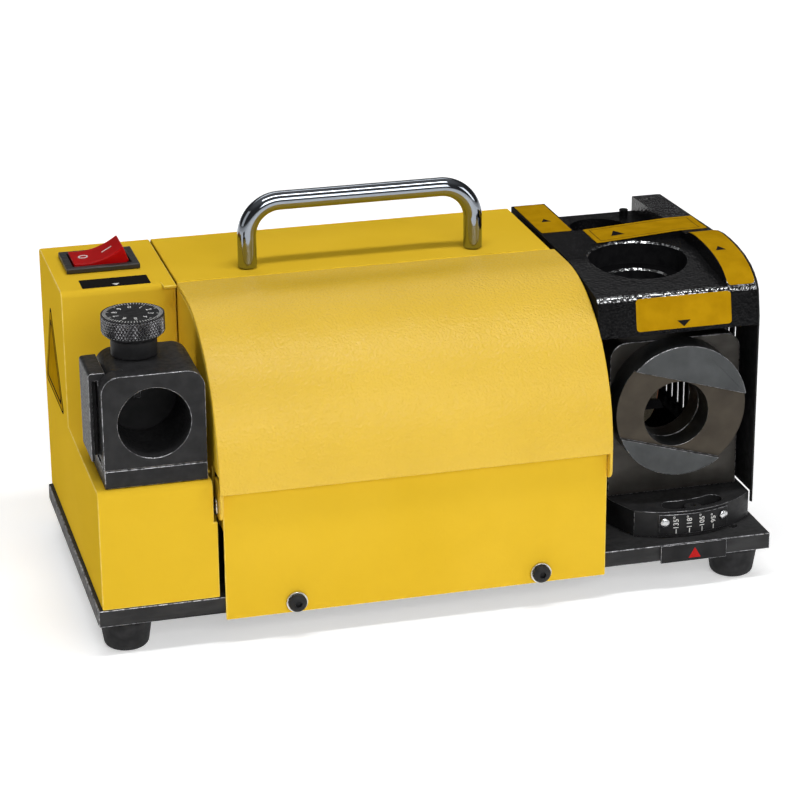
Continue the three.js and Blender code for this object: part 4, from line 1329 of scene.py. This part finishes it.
def build_rotor():
    start, end = -34, 26
    outer = 38
    core = tube(SHAFT_HOLE, outer, start, end, 0.4, 96)
    grooves = [spin(block(outer - 2.5, outer + 1, -0.9, 0.9, start - 1, end + 1), 15 * index, "Z")
               for index in range(24)]
    cut(core, *grooves)
    piece(on_spindle(core), "rotor_stack", "spindle", LAMINATED, ["rotor_core"], angle=25)
    coils = gather(tube(12, 33, -40.5, -34.2, 2.6, 64), tube(12, 33, 26.2, 32, 2.4, 64))
    piece(on_spindle(coils), "rotor_windings", "spindle", WINDING)


def build_fan():
    """A hub and a disc with eight curved blades."""
    curve = arc(23, -18, 22, 125, 55, 14)
    blade = curve + [(u, v - 1.5) for u, v in reversed(curve)]
    blades = [spin(prism("z", blade, 1, 8.8), 45 * index, "Z") for index in range(8)]
    fan = join(tube(SHAFT_HOLE, 12, 0, 9, 0.5, 48), tube(11, 37, 0, 1.5, 0.4, 96))
    move(join(fan, *blades), z=-50)
    piece(on_spindle(fan), "fan_wheel", "spindle", PLASTIC, ["cooling_fan"], 0.2)


def build_motor():
    low, high = corners("motor_shell")
    outer = (high.z - low.z) / 2
    build_motor_case(outer)
    build_end_bell("drive", outer, 36, 0)
    build_end_bell("rear", outer, -60, 180)
    build_bearing("drive", 36.3)
    build_bearing("rear", -69.3)
    from_cad("motor_cradle", "saddle", "machine", ALUMINIUM, 0.8, 3)


def build_motor_case(outer):
    """A plain tube with nine shallow grooves round it."""
    inner = outer - 4
    start, end = -60, 36
    profile = [(inner, start), (outer - 0.4, start, 0.3), (outer, start + 0.6)]
    floor = outer - 1.1
    for index in range(9):
        groove = start + 14 + 8 * index
        profile += [(outer, groove), (floor, groove + 1.0, 0.4)]
        profile += [(floor, groove + 4, 0.4), (outer, groove + 5)]
    profile += [(outer, end - 0.6), (outer - 0.4, end, 0.3), (inner, end)]
    case = lathe(rounded(profile, 3), 96)
    piece(on_spindle(case), "motor_case", "machine", SATIN_BLACK[:1], ["motor_shell"],
          angle=35)


def build_end_bell(end, outer, face, turn):
    """A cast cap with a seat for the bearing and six windows."""
    hole = 8.3
    seat = 16.3
    bell = lathe(rounded([
        (hole, 11.5, 0.5), (outer - 4, 11.5, 2.0), (outer, 7, 1.2), (outer, 0.3, 0.3), (outer - 9, 0.3, 0.3),
        (outer - 9, 4, 0.8), (seat + 3, 4, 0.8), (seat + 3, 0.3, 0.3), (seat, 0.3, 0.3), (seat, 9.5),
        (hole, 9.5)], 4), 96)
    cut(bell, *[spin(block(24, 33, -4, 4, 2, 14), 60 * index + 30, "Z") for index in range(6)])
    move(spin(bell, turn, "X"), z=face)
    piece(on_spindle(bell), f"end_bell_{end}", "machine", ALUMINIUM, [f"motor_cap_{end}"],
          0.4, angle=35)


def build_bearing(end, start):
    """Two races with a ball set between them."""
    width = 9
    parts = [tube(inner, outer, start, start + width, 0.5, 64)
             for inner, outer in ((SHAFT_HOLE, 9.2), (13.1, 16))]
    for index in range(8):
        bm = bmesh.new()
        bmesh.ops.create_icosphere(bm, subdivisions=3, radius=2.6)
        ball = move(to_object(bm), 11.15, 0, start + width / 2)
        parts.append(spin(ball, 45 * index, "Z"))
    piece(on_spindle(gather(*parts)), f"ball_bearing_{end}", "machine", BRIGHT,
          [f"bearing_{end}"], angle=40)


def build_rack(pockets=7):
    """The tray under the lid, with a row of round pockets for collets."""
    low, high = corners("collet_rack")
    pitch = (high.x - low.x) / pockets
    rack = prism("z", rectangle(low.x, high.x, low.y, high.y, 3), low.z, high.z)
    middle_y = (low.y + high.y) / 2
    cut(rack, *[bar("z", 10.7, high.z - 18, high.z + 1, (low.x + pitch * (index + 0.5), middle_y), 72)
                for index in range(pockets)])
    piece(rack, "collet_tray", "machine", PLASTIC, ["collet_rack"], 0.6, 3)


# ---------- printed films ----------

FILM = 0.14              # how far a film's top is above the surface
RIM_PATH = smooth_path(RIM_TOP)
LEFT_FACE = corners("left_housing")[0].x


def on_lip(u, v, lift):
    """The sloping front lip. v is measured up the slope."""
    foot = Vector(LIP_LOW)
    up = (Vector(LIP_HIGH) - foot).normalized()
    out = Vector((-up.y, up.x))
    spot = foot + up * v + out * lift
    return Vector((u, spot.x, spot.y))


def rim_height(y):
    """The raised rim's height at a depth: its curve, then a straight run down to the back."""
    for (y0, z0), (y1, z1) in zip(RIM_PATH, RIM_PATH[1:]):
        if y0 <= y <= y1:
            return z0 + (z1 - z0) * (y - y0) / (y1 - y0)
    rear = 157
    return z1 + (BODY_TOP - z1) * (y - y1) / (rear - y1)


def on_rim(u, v, lift):
    return Vector((u, v, rim_height(v) + lift + 0.05))


def on_ramp(u, v, lift):
    """The flat top and the ramp that climbs from it to the rim."""
    climb = min(max((u - BRIDGE_LEFT) / (RIM_LEFT - BRIDGE_LEFT), 0), 1)
    rise = max(rim_height(v), BRIDGE_TOP) - BODY_TOP
    return Vector((u, v, BODY_TOP + rise * climb + lift + 0.04))


def on_flat_top(u, v, lift):
    return Vector((u, v, BODY_TOP + lift))


def on_left_side(u, v, lift):
    return Vector((LEFT_FACE - lift, u, v))


def film_shape(outline, place, low, high, cell=1.5):
    """An outline laid over a curved place: it is sliced finely so that it bends with it."""
    shape = prism("z", outline, low, high)
    bm = bmesh.new()
    bm.from_mesh(shape.data)
    for axis, normal in enumerate((Vector((1, 0, 0)), Vector((0, 1, 0)))):
        values = [vertex.co[axis] for vertex in bm.verts]
        start, end = min(values), max(values)
        slices = max(1, round((end - start) / cell))
        for index in range(1, slices):
            point = normal * (start + (end - start) * index / slices)
            geometry = bm.verts[:] + bm.edges[:] + bm.faces[:]
            bmesh.ops.bisect_plane(bm, geom=geometry, plane_co=point, plane_no=normal)
    for vertex in bm.verts:
        vertex.co = place(*vertex.co)
    bm.to_mesh(shape.data)
    bm.free()
    return shape


def layer(outline, place, low, high, name, finishes):
    """One printed layer between two heights above a surface. place takes (u, v, lift) to a point."""
    piece(film_shape(outline, place, low, high), name, "machine", finishes, angle=40)


def film(name, outline, place, marks):
    """A thin amber film with black marks."""
    layer(outline, place, 0.02, FILM, name, AMBER)
    for number, mark in enumerate(marks, 1):
        layer(mark, place, FILM, FILM + 0.03, f"{name}_print_{number}", BLACK_INK)


def triangle(u0, u1, foot, tip):
    return [(u0, foot), (u1, foot), ((u0 + u1) / 2, tip)]


def border(u0, u1, v0, v1, wide):
    """Four thin bars round a rectangle."""
    bars = [(u0, u1, v0, v0 + wide), (u0, u1, v1 - wide, v1),
            (u0, u0 + wide, v0 + wide, v1 - wide), (u1 - wide, u1, v0 + wide, v1 - wide)]
    return [rectangle(*bar_sides) for bar_sides in bars]


def build_films():
    film("front_film", rectangle(98, 144.6, 1.9, 17.2, 1.6), on_lip, [triangle(117.8, 124.4, 5.6, 2.6)])
    film("rim_film", rectangle(RIM_LEFT + 0.3, 157.3, 24.0, 78.0, 1.5), on_rim,
         [triangle(146.4, 151.4, 47.0, 51.4)])
    film("band_film", rectangle(101, 157.2, 86.3, 108.6, 0.6), on_ramp,
         [*border(103.5, 154.0, 88.4, 106.4, 0.3), triangle(110.5, 117.5, 93.5, 101.0)])
    film("rear_film", rectangle(80.6, 96.2, 110.0, 156.0, 1.2), on_flat_top,
         [triangle(86.0, 91.0, 127.0, 132.0)])
    build_side_sign()
    layer(rectangle(-147.5, -115.7, 87.9, 100.4, 0.5), on_flat_top, 0.02, FILM,
          "switch_label", BLACK_INK)
    layer(triangle(-133.4, -129.8, 91.6, 89.2), on_flat_top, FILM, FILM + 0.03,
          "switch_label_mark", WHITE_INK)


def build_side_sign():
    """A plain triangular sign on the left cover: four layers, each smaller than the one below it."""
    foot = 80.2
    outer = [(95.5, foot), (152.8, foot), (124.6, 127.0)]
    middle_y = sum(y for y, _ in outer) / 3
    middle_z = sum(z for _, z in outer) / 3
    low, high = 0.02, FILM
    for name, scale, radius, finishes, slot in (
            ("back", 1.0, 2.5, BLACK_INK, "black_paint"), ("edge", 0.93, 2.2, AMBER, "yellow_paint"),
            ("line", 0.80, 1.8, BLACK_INK, "black_paint"), ("face", 0.70, 1.5, AMBER, "yellow_paint")):
        shrunk = [(middle_y + (y - middle_y) * scale, middle_z + (z - middle_z) * scale) for y, z in outer]
        layer(softened(shrunk, radius, 5), on_left_side, low, high, f"side_sign_{name}", finishes)
        low, high = high, high + 0.04


# ---------- studio ----------

def build_camera():
    """The camera at the photograph's viewing angle, with no shift."""
    data = bpy.data.cameras.new("camera")
    data.lens = 124.16
    data.sensor_width = 36
    data.clip_start = 0.05
    camera = bpy.data.objects.new("camera", data)
    bpy.context.scene.collection.objects.link(camera)
    place = (-0.31480, -1.19318, 0.54685)
    azimuth = math.radians(-14.833)
    elevation = math.radians(20.837)
    roll = math.radians(-0.463)
    back = Vector((math.sin(azimuth) * math.cos(elevation), -math.cos(azimuth) * math.cos(elevation),
                   math.sin(elevation)))
    right = Vector((0, 0, 1)).cross(back).normalized()
    up = back.cross(right)
    level_right = right * math.cos(roll) + up * math.sin(roll)
    level_up = up * math.cos(roll) - right * math.sin(roll)
    turn = Matrix((level_right, level_up, back)).transposed().to_4x4()
    camera.matrix_world = Matrix.Translation(place) @ turn
    bpy.context.scene.camera = camera


def area_light(name, place, target, size, power, spread=180):
    """A rectangular light, aimed at a target, with its power in watts."""
    data = bpy.data.lights.new(name, "AREA")
    data.shape = "RECTANGLE"
    data.size, data.size_y = size
    data.energy = power
    data.spread = math.radians(spread)
    light = bpy.data.objects.new(name, data)
    bpy.context.scene.collection.objects.link(light)
    light.location = place
    light.rotation_euler = (Vector(target) - Vector(place)).to_track_quat("-Z", "Y").to_euler()


def build_studio():
    build_floor()
    machine = (0, 0, 0.08)
    area_light("front_softbox", (0.15, -1.75, 1.05), machine, (1.3, 0.7), 13.5)
    area_light("top_softbox", (0.0, -0.35, 1.5), machine, (1.3, 0.16), 10)
    area_light("left_softbox", (-1.6, -0.2, 0.7), machine, (0.8, 0.9), 1.8)
    area_light("right_softbox", (1.5, -0.9, 0.7), machine, (0.5, 0.9), 4)
    area_light("floor_wash", (0.3, 3.4, 2.4), (0.3, 3.0, 0), (5.0, 3.0), 80, spread=90)
    build_sky()
    bpy.context.scene.view_settings.view_transform = "Standard"


def build_floor():
    """A wide pale floor, just under the feet."""
    bm = bmesh.new()
    bmesh.ops.create_grid(bm, x_segments=24, y_segments=24, size=6.0)
    floor = to_object(bm)
    floor.name = "floor"
    floor.data.materials.append(studio_floor())
    for polygon in floor.data.polygons:
        polygon.use_smooth = True
    floor.location.z = -0.0002


def build_sky():
    """White light from all round: brighter at the top of the sky and below the horizon."""
    world = bpy.data.worlds.new("studio")
    world.use_nodes = True
    tree = world.node_tree
    direction = tree.nodes.new("ShaderNodeTexCoord").outputs["Generated"]
    height = tree.nodes.new("ShaderNodeSeparateXYZ")
    tree.links.new(direction, height.inputs["Vector"])

    def fade(low, high, start, end):
        """Strength that goes from start at one height in the sky to end at another."""
        mapped = tree.nodes.new("ShaderNodeMapRange")
        mapped.interpolation_type = "SMOOTHSTEP"
        mapped.inputs["From Min"].default_value = low
        mapped.inputs["From Max"].default_value = high
        mapped.inputs["To Min"].default_value = start
        mapped.inputs["To Max"].default_value = end
        tree.links.new(height.outputs["Z"], mapped.inputs["Value"])
        return mapped.outputs["Result"]

    total = tree.nodes.new("ShaderNodeMath")
    total.operation = "ADD"
    tree.links.new(fade(0.45, 1.0, 0.05, 0.22), total.inputs[0])
    tree.links.new(fade(0.0, 0.06, 0.50, 0.0), total.inputs[1])
    tree.links.new(total.outputs["Value"], tree.nodes["Background"].inputs["Strength"])
    tree.nodes["Background"].inputs["Color"].default_value = (1, 1, 1, 1)
    bpy.context.scene.world = world


build_camera()
build_studio()
build_base()
build_covers()
build_handle()
build_cover_fasteners()
build_switch()
build_fixture()
build_housing()
build_seat()
build_spindle()
build_motor()
build_rack()
build_films()
